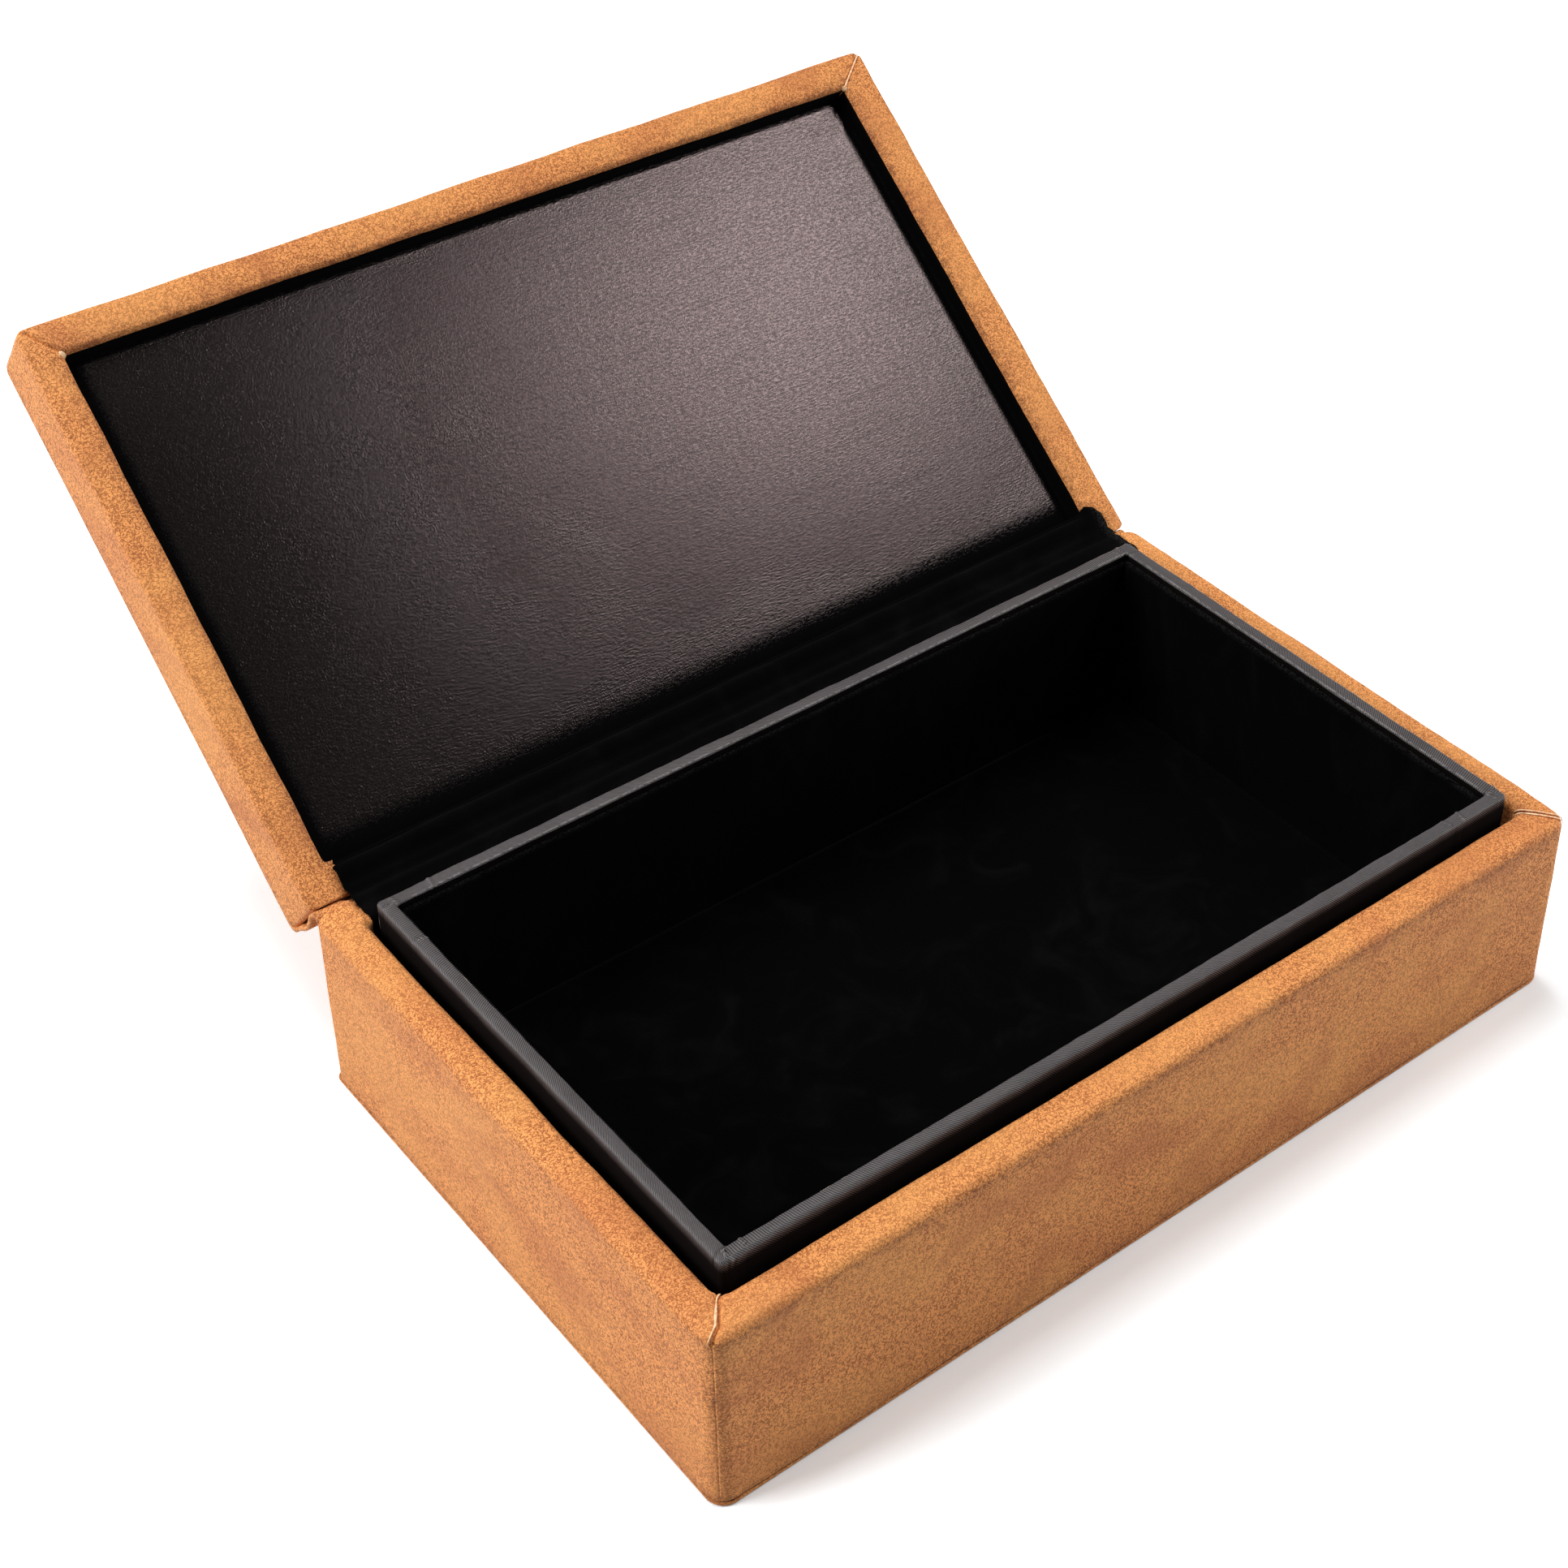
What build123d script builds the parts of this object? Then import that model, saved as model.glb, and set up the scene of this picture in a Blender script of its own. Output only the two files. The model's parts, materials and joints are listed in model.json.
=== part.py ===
from build123d import *

# Faraday key box: a leather-wrapped board base with a hinged lid. An inner box lined with
# shielding fabric and velvet stands a little proud of the base's rim, and its conductive
# rim closes against the conductive cover of the lid's padded panel.
#
# Lengths are in millimetres and angles in degrees. The origin is the centre of the base's
# bottom face, X runs along the hinge, +Y points to the hinge and +Z points up. The lid is
# built closed and then turned open about the hinge, which is the pose that is written.

import math
import os
from dataclasses import dataclass

# Base: the leather-wrapped outer box
BASE_LENGTH = 190.0
BASE_DEPTH = 117.5
BASE_HEIGHT = 39.0
WALL_BOARD = 4.2             # the right and rear walls
FRONT_BOARD = 5.2
LEFT_BOARD = 4.65
BOTTOM_BOARD = 3.0
BASE_TURN_IN = 15.0          # how far a wrap comes down inside the wall
BASE_CORNER_RADIUS = 3.8     # the front upright corners, in plan
BASE_RIM_ROUNDING = 2.8
BASE_HINGE_ROUNDING = 1.2
BASE_INNER_ROUNDING = 1.5
BASE_REAR_RELIEF = 0.8       # the rear rim is lower, to take the velvet strip

# Sheet materials
LEATHER = 1.0                # wraps of walls and lid frame
COVER = 0.8                  # the sheet over lid, hinge, back and bottom
TAPE = 0.4                   # conductive twill
SHIELD = 0.2                 # shielding fabric
VELVET = 0.8
STRIP_VELVET = 0.6
SATIN = 0.4

# Inner box
LINER_RIM_HEIGHT = 43.0
LINER_BOARD = 2.2
LINER_FLOOR_BOARD = 2.0
LINER_GAP_LEFT = 1.55
LINER_GAP_RIGHT = 2.4
LINER_GAP_FRONT = 1.4
LINER_GAP_REAR = 1.0
LINER_CORNER_RADIUS = 1.4
LINER_RIM_ROUNDING = 0.9
TAPE_OUTER_LEG = 14.0
TAPE_INNER_LEG = 1.7
FLOOR_MAT = 1.5

# Lid
RIM_GAP = 0.3                # between the closed lid's rim and the base's rim
LID_HEIGHT = 14.6
LID_STEP_LEFT = 0.6          # the lid's left face stands in from the base's
LID_STEP_REAR = 1.5          # the lid's back stands in from the base's, over the covers
LID_RIM_LEFT = 6.4
LID_RIM_RIGHT = 7.9
LID_RIM_FRONT = 7.2
LID_RIM_REAR = 5.2
LID_TOP_BOARD = 2.5
LID_TURN_IN = 9.0
LID_CORNER_RADIUS = 2.3
LID_RIM_ROUNDING = 1.7
LID_HINGE_ROUNDING = 0.5
LID_INNER_ROUNDING = 1.3
LID_REAR_RELIEF = 0.6
RECESS_DEPTH = 4.4           # from the rim to the padded panel
PANEL_BOARD = 1.8
PANEL_GAP = 0.4              # around the padded panel
PANEL_ROUNDING = 1.6

# Hinge
AXIS_BELOW_RIM = 0.73        # under the base's rim
AXIS_FROM_BACK = 0.39        # in from the back cover's outer face
OPEN_ANGLE = 140.6
SPINE_SEAM_DROP = 5.0        # from the base's rim down to the hinge strip's lower edge
SPINE_BEND = 1.4             # radius of the hinge strip's bend, at mid thickness
SPINE_INSET = 0.4            # the strip's ends stand in from the lid's ends
VELVET_END_LEFT = 8.0        # from the base's left face to the velvet strip's end
VELVET_END_RIGHT = 4.2
VELVET_TUCK = 12.0           # how far the strip hangs down behind the inner box
VELVET_CLEARANCE = 0.3       # beside the strip, and from its edge to the panel

CUT_REACH = 16.0             # how far a cutting solid reaches past what it cuts


@dataclass(frozen=True)
class Outline:
    """A rectangle in plan, given by where its four sides lie."""

    left: float
    right: float
    front: float
    rear: float

    def inset(self, left, right=None, front=None, rear=None):
        """Return the outline moved in by one distance, or by one for each side."""
        if right is None:
            right = front = rear = left
        return Outline(self.left + left, self.right - right, self.front + front, self.rear - rear)

    def prism(self, low, high, corner_radius=0.0):
        """Return the outline as a solid from low to high, its front corners rounded."""
        solid = block((self.left, self.right), (self.front, self.rear), (low, high))
        if corner_radius:
            upright = solid.edges().filter_by(Axis.Z).sort_by(Axis.Y)
            solid = fillet(upright[:2], corner_radius)
        return solid

    def rounded_back(self, low, high, low_radius, high_radius):
        """Return a space whose back is this outline's, with its long edges rounded."""
        wider = self.inset(-CUT_REACH, -CUT_REACH, -CUT_REACH, 0)
        solid = wider.prism(low, high)
        for height, radius in ((low, low_radius), (high, high_radius)):
            if radius:
                solid = fillet(edges_at(solid, height, wider, rear=True), radius)
        return solid


def block(x, y, z):
    """Return a box from its lower and upper limits along each axis."""
    centre = Pos((x[0] + x[1]) / 2, (y[0] + y[1]) / 2, (z[0] + z[1]) / 2)
    return centre * Box(x[1] - x[0], y[1] - y[0], z[1] - z[0])


def edges_at(solid, height, outline, rear):
    """Return a face's edges at one height inside an outline: the rear ones, or the others."""
    margin = 0.01
    found = []
    for edge in solid.edges().filter_by_position(Axis.Z, height - margin, height + margin):
        middle = edge.center()
        inside = (outline.left - margin < middle.X < outline.right + margin
                  and outline.front - margin < middle.Y < outline.rear + margin)
        if inside and (middle.Y > outline.rear - margin) == rear:
            found.append(edge)
    return found


def rimmed(outer, low, high, rim, corner_radius, rounding):
    """Return a solid outline with its front corners and its rim's outside edge rounded."""
    solid = outer.prism(low, high, corner_radius)
    return fillet(edges_at(solid, rim, outer, rear=False), rounding)


def opened_up(solid, opening, low, high, rim, rounding):
    """Return a solid with an opening cut through it, the opening's edge rounded."""
    solid -= opening.prism(low, high)
    edge = edges_at(solid, rim, opening, rear=False) + edges_at(solid, rim, opening, rear=True)
    return fillet(edge, rounding)


def wall_region(opening, side, low, high):
    """Return the space on one side of an opening, between its corners' mitre planes."""
    left, right, front, rear = opening.left, opening.right, opening.front, opening.rear
    far_left, far_right = left - CUT_REACH, right + CUT_REACH
    far_front, far_rear = front - CUT_REACH, rear + CUT_REACH
    corners = {
        "front": ((left, front), (right, front), (far_right, far_front), (far_left, far_front)),
        "rear": ((left, rear), (right, rear), (far_right, far_rear), (far_left, far_rear)),
        "left": ((left, front), (left, rear), (far_left, far_rear), (far_left, far_front)),
        "right": ((right, front), (right, rear), (far_right, far_rear), (far_right, far_front)),
    }
    face = make_face(Polyline(*corners[side], close=True))
    return Pos(0, 0, low) * extrude(face, amount=high - low, dir=(0, 0, 1))


def mitred(frame, opening, name, low, high):
    """Return a frame round an opening as four named pieces with mitred ends."""
    return {
        name.format(side): frame & wall_region(opening, side, low, high)
        for side in ("front", "rear", "left", "right")
    }


def butted(frame, outer, thickness, name, low, high):
    """Return a frame as four named boards: full-length front and rear, sides between."""
    front, rear = thickness
    across = (outer.left, outer.right)
    middle = (outer.left + outer.right) / 2
    between = (outer.front + front, outer.rear - rear)
    spaces = {
        "front": block(across, (outer.front, between[0]), (low, high)),
        "rear": block(across, (between[1], outer.rear), (low, high)),
        "left": block((outer.left, middle), between, (low, high)),
        "right": block((middle, outer.right), between, (low, high)),
    }
    return {name.format(side): frame & space for side, space in spaces.items()}


def side_of(points, distance):
    """Return a path's points moved sideways, to the left where distance is positive."""
    points = [Vector(*point) for point in points]
    along = [(after - before).normalized() for before, after in zip(points, points[1:])]
    normals = [Vector(-way.Y, way.X) for way in along]
    shifts = [normals[0]]
    for before, after in zip(normals, normals[1:]):
        shifts.append((before + after) / (1 + before.dot(after)))
    shifts.append(normals[-1])
    return [point + shift * distance for point, shift in zip(points, shifts)]


def strip(points, thickness, bend, across):
    """Return a strip along points in the YZ plane, between two places along X.

    bend is the radius of every turn, at mid thickness.
    """
    half = thickness / 2
    turns = []
    for before, here, after in zip(points, points[1:], points[2:]):
        first, second = Vector(*here) - Vector(*before), Vector(*after) - Vector(*here)
        turns.append(math.copysign(1, first.cross(second).Z))
    sides = []
    for way in (half, -half):
        radii = [bend - turn * way for turn in turns]
        sides.append(FilletPolyline(*side_of(points, way), radius=radii))
    ends = [Line(sides[0] @ end, sides[1] @ end) for end in (0, 1)]
    section = make_face(sides[0].edges() + sides[1].edges() + ends)
    return extrude(Plane.YZ.offset(across[0]) * section, amount=across[1] - across[0])


# Places worked out from the sizes above
base_outline = Outline(-BASE_LENGTH / 2, BASE_LENGTH / 2, -BASE_DEPTH / 2, BASE_DEPTH / 2)
wrap_outline = base_outline.inset(0, 0, 0, COVER)
wall_core = wrap_outline.inset(LEATHER)
base_opening = wall_core.inset(
    LEFT_BOARD + LEATHER, WALL_BOARD + LEATHER, FRONT_BOARD + LEATHER, WALL_BOARD + LEATHER)
liner_outline = base_opening.inset(
    LINER_GAP_LEFT, LINER_GAP_RIGHT, LINER_GAP_FRONT, LINER_GAP_REAR)
liner_cavity = liner_outline.inset(TAPE + LINER_BOARD)
lined_cavity = liner_cavity.inset(SHIELD)

liner_low = COVER + BOTTOM_BOARD
liner_floor = liner_low + LINER_FLOOR_BOARD
mat_low = liner_floor + SHIELD
velvet_top = LINER_RIM_HEIGHT - TAPE_INNER_LEG

rim_low = BASE_HEIGHT + RIM_GAP
lid_high = rim_low + LID_HEIGHT
lid_cover_low = lid_high - COVER
lid_board_low = lid_cover_low - LID_TOP_BOARD
lid_spine_radius = COVER + LID_TOP_BOARD
panel_face = rim_low + RECESS_DEPTH
panel_high = lid_board_low - SHIELD
lid_outline = base_outline.inset(LID_STEP_LEFT, 0, 0, LID_STEP_REAR + COVER)
recess = lid_outline.inset(LID_RIM_LEFT, LID_RIM_RIGHT, LID_RIM_FRONT, LID_RIM_REAR)
velvet_left = base_outline.left + VELVET_END_LEFT
velvet_right = base_outline.right - VELVET_END_RIGHT
relief_across = (velvet_left - VELVET_CLEARANCE, velvet_right + VELVET_CLEARANCE)
panel_outline = recess.inset(PANEL_GAP)

axis_y = base_outline.rear - AXIS_FROM_BACK
axis_z = BASE_HEIGHT - AXIS_BELOW_RIM
hinge_axis = Axis((0, axis_y, axis_z), (-1, 0, 0))


def opened(solid):
    """Return a piece of the closed lid turned open about the hinge."""
    return solid.rotate(hinge_axis, OPEN_ANGLE)


def opened_point(y, z):
    """Return where a point of the closed lid's cross-section lies on the open lid."""
    angle = math.radians(OPEN_ANGLE)
    across, up = y - axis_y, z - axis_z
    return (axis_y + across * math.cos(angle) + up * math.sin(angle),
            axis_z - across * math.sin(angle) + up * math.cos(angle))


def make_base():
    """Return the outer box: boards, leather wraps, back cover and bottom cover."""
    low, high = COVER, BASE_HEIGHT
    board_opening = base_opening.inset(-LEATHER)
    board_high = high - LEATHER
    walls = rimmed(wrap_outline, low, high, high, BASE_CORNER_RADIUS, BASE_RIM_ROUNDING)
    walls &= wrap_outline.rounded_back(low, high, 0, BASE_HINGE_ROUNDING)
    walls = opened_up(walls, base_opening, low, high, high, BASE_INNER_ROUNDING)
    boards = rimmed(wall_core, low, board_high, board_high,
                    BASE_CORNER_RADIUS - LEATHER, BASE_RIM_ROUNDING - LEATHER)
    boards -= board_opening.prism(low, board_high)

    behind = (base_opening.rear, base_outline.rear)
    relief = block(relief_across, behind, (high - BASE_REAR_RELIEF, high))
    walls -= relief
    boards -= Pos(0, 0, -LEATHER) * relief
    below_turn_in = board_opening.prism(low, high - BASE_TURN_IN)
    leather = walls - boards - below_turn_in

    pieces = mitred(leather, base_opening, "base_{}_wrap", low, high)
    pieces |= butted(boards, wall_core, (FRONT_BOARD, WALL_BOARD), "base_{}_board",
                     low, board_high)
    pieces["base_bottom_board"] = board_opening.prism(low, liner_low)
    pieces["base_bottom_cover"] = base_outline.prism(0, low, BASE_CORNER_RADIUS)
    pieces["base_back_cover"] = block((wrap_outline.left, wrap_outline.right),
                                      (wrap_outline.rear, base_outline.rear),
                                      (low, high - SPINE_SEAM_DROP))
    return pieces


def make_liner():
    """Return the inner box: boards, shielding fabric, rim tape and velvet."""
    high = LINER_RIM_HEIGHT
    board_high = high - TAPE
    board_outline = liner_outline.inset(TAPE)
    boards = rimmed(board_outline, liner_low, board_high, board_high,
                    LINER_CORNER_RADIUS - TAPE, LINER_RIM_ROUNDING - TAPE)
    boards -= liner_cavity.prism(liner_low, board_high)

    tape_low = high - TAPE_OUTER_LEG
    tape_opening = lined_cavity.inset(TAPE)
    tape = rimmed(liner_outline, tape_low, high, high, LINER_CORNER_RADIUS, LINER_RIM_ROUNDING)
    tape -= tape_opening.prism(tape_low, high)
    tape -= boards + liner_cavity.prism(tape_low, velvet_top)

    shield = liner_cavity.prism(mat_low, board_high) - lined_cavity.prism(mat_low, board_high)
    velvet_opening = lined_cavity.inset(VELVET)
    velvet = lined_cavity.prism(mat_low, velvet_top) - velvet_opening.prism(mat_low, velvet_top)

    pieces = butted(boards, board_outline, (LINER_BOARD, LINER_BOARD), "liner_{}_board",
                    liner_low, board_high)
    pieces |= mitred(tape - shield, tape_opening, "rim_tape_{}", tape_low, high)
    pieces |= butted(shield, liner_cavity, (SHIELD, SHIELD), "shield_{}_wall",
                     mat_low, board_high)
    pieces |= butted(velvet, lined_cavity, (VELVET, VELVET), "velvet_{}_wall",
                     mat_low, velvet_top)
    pieces["liner_floor_board"] = liner_cavity.prism(liner_low, liner_floor)
    pieces["shield_floor"] = liner_cavity.prism(liner_floor, mat_low)
    pieces["velvet_floor_mat"] = velvet_opening.prism(mat_low, mat_low + FLOOR_MAT)
    return pieces


def make_lid_frame():
    """Return the closed lid's boards, leather wraps and top cover.

    The top cover turns down over the top board's rounded back edge, where the hinge strip
    takes over from it.
    """
    low, high = rim_low, lid_cover_low
    board_low = low + LEATHER
    board_radius = LID_CORNER_RADIUS - LEATHER
    board_outline = lid_outline.inset(LEATHER)
    board_opening = recess.inset(-LEATHER)
    walls = rimmed(lid_outline, low, high, low, LID_CORNER_RADIUS, LID_RIM_ROUNDING)
    walls &= lid_outline.rounded_back(low, high, LID_HINGE_ROUNDING, LID_TOP_BOARD)
    walls = opened_up(walls, recess, low, lid_board_low, low, LID_INNER_ROUNDING)
    boards = rimmed(board_outline, board_low, lid_board_low, board_low, board_radius,
                    LID_RIM_ROUNDING - LEATHER)
    boards -= board_opening.prism(board_low, lid_board_low)
    top_board = board_outline.inset(0, 0, 0, -LEATHER).prism(lid_board_low, high, board_radius)
    top_board &= lid_outline.rounded_back(low, high, 0, LID_TOP_BOARD)

    relief = block(relief_across, (recess.rear, lid_outline.rear), (low, low + LID_REAR_RELIEF))
    walls -= relief
    boards -= Pos(0, 0, LEATHER) * relief
    leather = walls - boards - top_board - board_opening.prism(low + LID_TURN_IN, high)

    pieces = mitred(leather, recess, "lid_{}_wrap", low, high)
    frame_boards = (LID_RIM_FRONT - 2 * LEATHER, LID_RIM_REAR - 2 * LEATHER)
    pieces |= butted(boards, board_outline, frame_boards, "lid_{}_board",
                     board_low, lid_board_low)
    pieces["lid_top_board"] = top_board

    cover_outline = lid_outline.inset(0, 0, 0, -COVER)
    cover = cover_outline.prism(lid_board_low, lid_high, LID_CORNER_RADIUS)
    cover &= cover_outline.rounded_back(low, lid_high, 0, lid_spine_radius)
    pieces["lid_top_cover"] = cover - lid_outline.rounded_back(low, high, 0, LID_TOP_BOARD)
    return pieces


def make_panel():
    """Return the closed lid's padded panel and the shielding fabric behind it."""
    inner = panel_outline.inset(SATIN)
    foam_low = panel_face + SATIN
    board_low = panel_high - PANEL_BOARD
    cover = panel_outline.prism(panel_face, panel_high)
    cover = fillet(cover.edges().group_by(Axis.Z)[0], PANEL_ROUNDING)
    foam = inner.prism(foam_low, board_low)
    foam = fillet(foam.edges().group_by(Axis.Z)[0], PANEL_ROUNDING - SATIN)
    board = inner.prism(board_low, panel_high)
    return {
        "panel_cover": cover - foam - board,
        "panel_foam": foam,
        "panel_board": board,
        "lid_shield": recess.inset(-LEATHER).prism(panel_high, lid_board_low),
    }


def make_spine():
    """Return the outer leather hinge strip, bent between the base's back and the lid's."""
    base_leg_y = wrap_outline.rear + COVER / 2
    lid_leg_y = lid_outline.rear + COVER / 2
    start = (base_leg_y, BASE_HEIGHT - SPINE_SEAM_DROP)
    end = opened_point(lid_leg_y, lid_board_low)
    near = opened_point(lid_leg_y, rim_low)
    slope = (near[1] - end[1]) / (near[0] - end[0])
    crossing = (base_leg_y, end[1] + slope * (base_leg_y - end[0]))
    across = (lid_outline.left + SPINE_INSET, lid_outline.right - SPINE_INSET)
    return strip((start, crossing, end), COVER, SPINE_BEND, across)


def make_velvet_strip():
    """Return the velvet strip that covers the hinge on the inside.

    It lies over both rear rims. Its narrower long edges are tucked behind the inner box
    and into the lid's recess.
    """
    half = STRIP_VELVET / 2
    tuck_y = base_opening.rear - half
    rim_z = BASE_HEIGHT - BASE_REAR_RELIEF + half
    lid_z = rim_low + LID_REAR_RELIEF - half
    lid_tuck_y = recess.rear - half
    bend = (
        (wrap_outline.rear - BASE_HINGE_ROUNDING, rim_z),
        (axis_y + BASE_HINGE_ROUNDING, BASE_HEIGHT),
        opened_point(lid_outline.rear - LID_RIM_ROUNDING, lid_z),
    )
    over_rims = ((base_opening.rear, rim_z), *bend, opened_point(recess.rear, lid_z))
    tucked = ((tuck_y, rim_z - VELVET_TUCK), (tuck_y, rim_z), *bend,
              opened_point(lid_tuck_y, lid_z),
              opened_point(lid_tuck_y, panel_face - VELVET_CLEARANCE))
    narrow = (velvet_left, min(recess.right, base_opening.right) - VELVET_CLEARANCE)
    wide = (velvet_left, velvet_right)
    return (strip(tucked, STRIP_VELVET, half, narrow)
            + strip(over_rims, STRIP_VELVET, half, wide))


def build():
    """Return every piece of the open box by its node's name."""
    pieces = make_base() | make_liner()
    lid = make_lid_frame() | make_panel()
    pieces |= {name: opened(solid) for name, solid in lid.items()}
    pieces["hinge_spine"] = make_spine()
    pieces["velvet_hinge_strip"] = make_velvet_strip()
    return pieces


os.makedirs("parts", exist_ok=True)
for node, solid in build().items():
    export_step(solid, f"parts/{node}.step")
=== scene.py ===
"""Looks of a leather-wrapped faraday key box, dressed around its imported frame.

Lengths are in millimetres up to the point where a mesh is made, which is in metres. The lid
is shaped closed and then opened about the hinge.
"""

import json
import logging
import math
from dataclasses import dataclass, field
from enum import Enum
from typing import NamedTuple

import bpy
import numpy as np
from mathutils import Matrix, Vector


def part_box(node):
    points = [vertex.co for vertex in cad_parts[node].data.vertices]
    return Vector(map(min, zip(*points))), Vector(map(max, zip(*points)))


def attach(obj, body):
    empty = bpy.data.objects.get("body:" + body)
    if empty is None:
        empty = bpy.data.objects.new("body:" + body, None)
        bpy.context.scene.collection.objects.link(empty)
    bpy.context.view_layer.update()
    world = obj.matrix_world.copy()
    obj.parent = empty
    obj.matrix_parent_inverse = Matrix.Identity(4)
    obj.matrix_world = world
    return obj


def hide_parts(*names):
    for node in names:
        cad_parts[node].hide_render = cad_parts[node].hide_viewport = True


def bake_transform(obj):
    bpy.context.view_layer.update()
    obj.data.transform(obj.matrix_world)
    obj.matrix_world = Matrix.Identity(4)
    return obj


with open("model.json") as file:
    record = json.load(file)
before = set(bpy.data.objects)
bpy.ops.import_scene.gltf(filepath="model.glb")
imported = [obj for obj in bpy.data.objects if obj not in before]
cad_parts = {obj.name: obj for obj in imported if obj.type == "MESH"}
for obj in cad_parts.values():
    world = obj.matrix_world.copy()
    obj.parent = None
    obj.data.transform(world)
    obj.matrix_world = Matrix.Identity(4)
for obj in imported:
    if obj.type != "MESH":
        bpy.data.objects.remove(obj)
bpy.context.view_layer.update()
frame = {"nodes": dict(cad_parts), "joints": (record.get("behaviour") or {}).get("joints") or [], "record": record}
NODES = frame["nodes"]
HINGE = frame["joints"][0]
AXIS_Y, AXIS_Z = (1000 * value for value in HINGE["pos_m"][1:])
OPEN_ANGLE = math.radians(HINGE["range_deg"][1] - HINGE["range_deg"][0])
MM = 0.001
IMAGE_SIDE = 1932
QUARTER = math.pi / 2
FULL_TURN = 2 * math.pi
TINY = 1e-12

LOG = logging.getLogger("key_box")


# ---------------------------------------------------------------- shader maths


class Wire:
    """A node's output that Python's operators combine through Math nodes."""

    def __init__(self, graph: "Graph", socket: bpy.types.NodeSocket) -> None:
        """Keep the socket with the graph it belongs to."""
        self.graph = graph
        self.socket = socket

    def beside(self, output: str) -> "Wire":
        """Return another output of the same node."""
        return Wire(self.graph, self.socket.node.outputs[output])

    def _math(self, operation: str, *values: "Wire | float") -> "Wire":
        """Return a Math node's result for these values, in order."""
        return self.graph.node("ShaderNodeMath", dict(enumerate(values)), operation=operation)

    def __add__(self, other: "Wire | float") -> "Wire":
        """Add a value."""
        return self._math("ADD", self, other)

    def __sub__(self, other: "Wire | float") -> "Wire":
        """Take a value away."""
        return self._math("SUBTRACT", self, other)

    def __rsub__(self, other: float) -> "Wire":
        """Take this from a number."""
        return self._math("SUBTRACT", other, self)

    def __mul__(self, other: "Wire | float") -> "Wire":
        """Multiply by a value."""
        return self._math("MULTIPLY", self, other)

    def __abs__(self) -> "Wire":
        """Return the size without its sign."""
        return self._math("ABSOLUTE", self)

    __radd__ = __add__
    __rmul__ = __mul__

    def sine(self) -> "Wire":
        """Return the sine."""
        return self._math("SINE", self)

    def most(self, limit: float) -> "Wire":
        """Return the value, but no more than a limit."""
        return self._math("MINIMUM", self, limit)

    def ramp(self, low: float, high: float, start: float = 0.0, end: float = 1.0) -> "Wire":
        """Step smoothly from start at low to end at high.

        Args:
            low: the value where the step begins.
            high: the value where it ends.
            start: the result at low and below.
            end: the result at high and above.
        Returns:
            The stepped value.
        """
        values = {"Value": self, "From Min": low, "From Max": high,
                  "To Min": start, "To Max": end}
        return self.graph.node("ShaderNodeMapRange", values, interpolation_type="SMOOTHSTEP")


class Graph:
    """A tree of nodes, with one way to add any node."""

    def __init__(self, tree: bpy.types.NodeTree) -> None:
        """Keep the tree that the nodes go into."""
        self.tree = tree

    def node(self, kind: str, inputs: dict | None = None, output: str | int = 0,
             **settings: object) -> Wire:
        """Add a node and return one of its outputs.

        Args:
            kind: the node's type.
            inputs: values or wires, by the socket's name or index.
            output: the name or index of the output that is returned.
            settings: the node's own settings, which are set first.
        Returns:
            The chosen output.
        """
        made = self.tree.nodes.new(kind)
        for setting, value in settings.items():
            setattr(made, setting, value)
        for key, value in (inputs or {}).items():
            socket = made.inputs[key]
            if isinstance(value, Wire):
                self.tree.links.new(value.socket, socket)
            else:
                socket.default_value = value
        return Wire(self, made.outputs[output]) if made.outputs else Wire(self, made.inputs[0])


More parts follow.
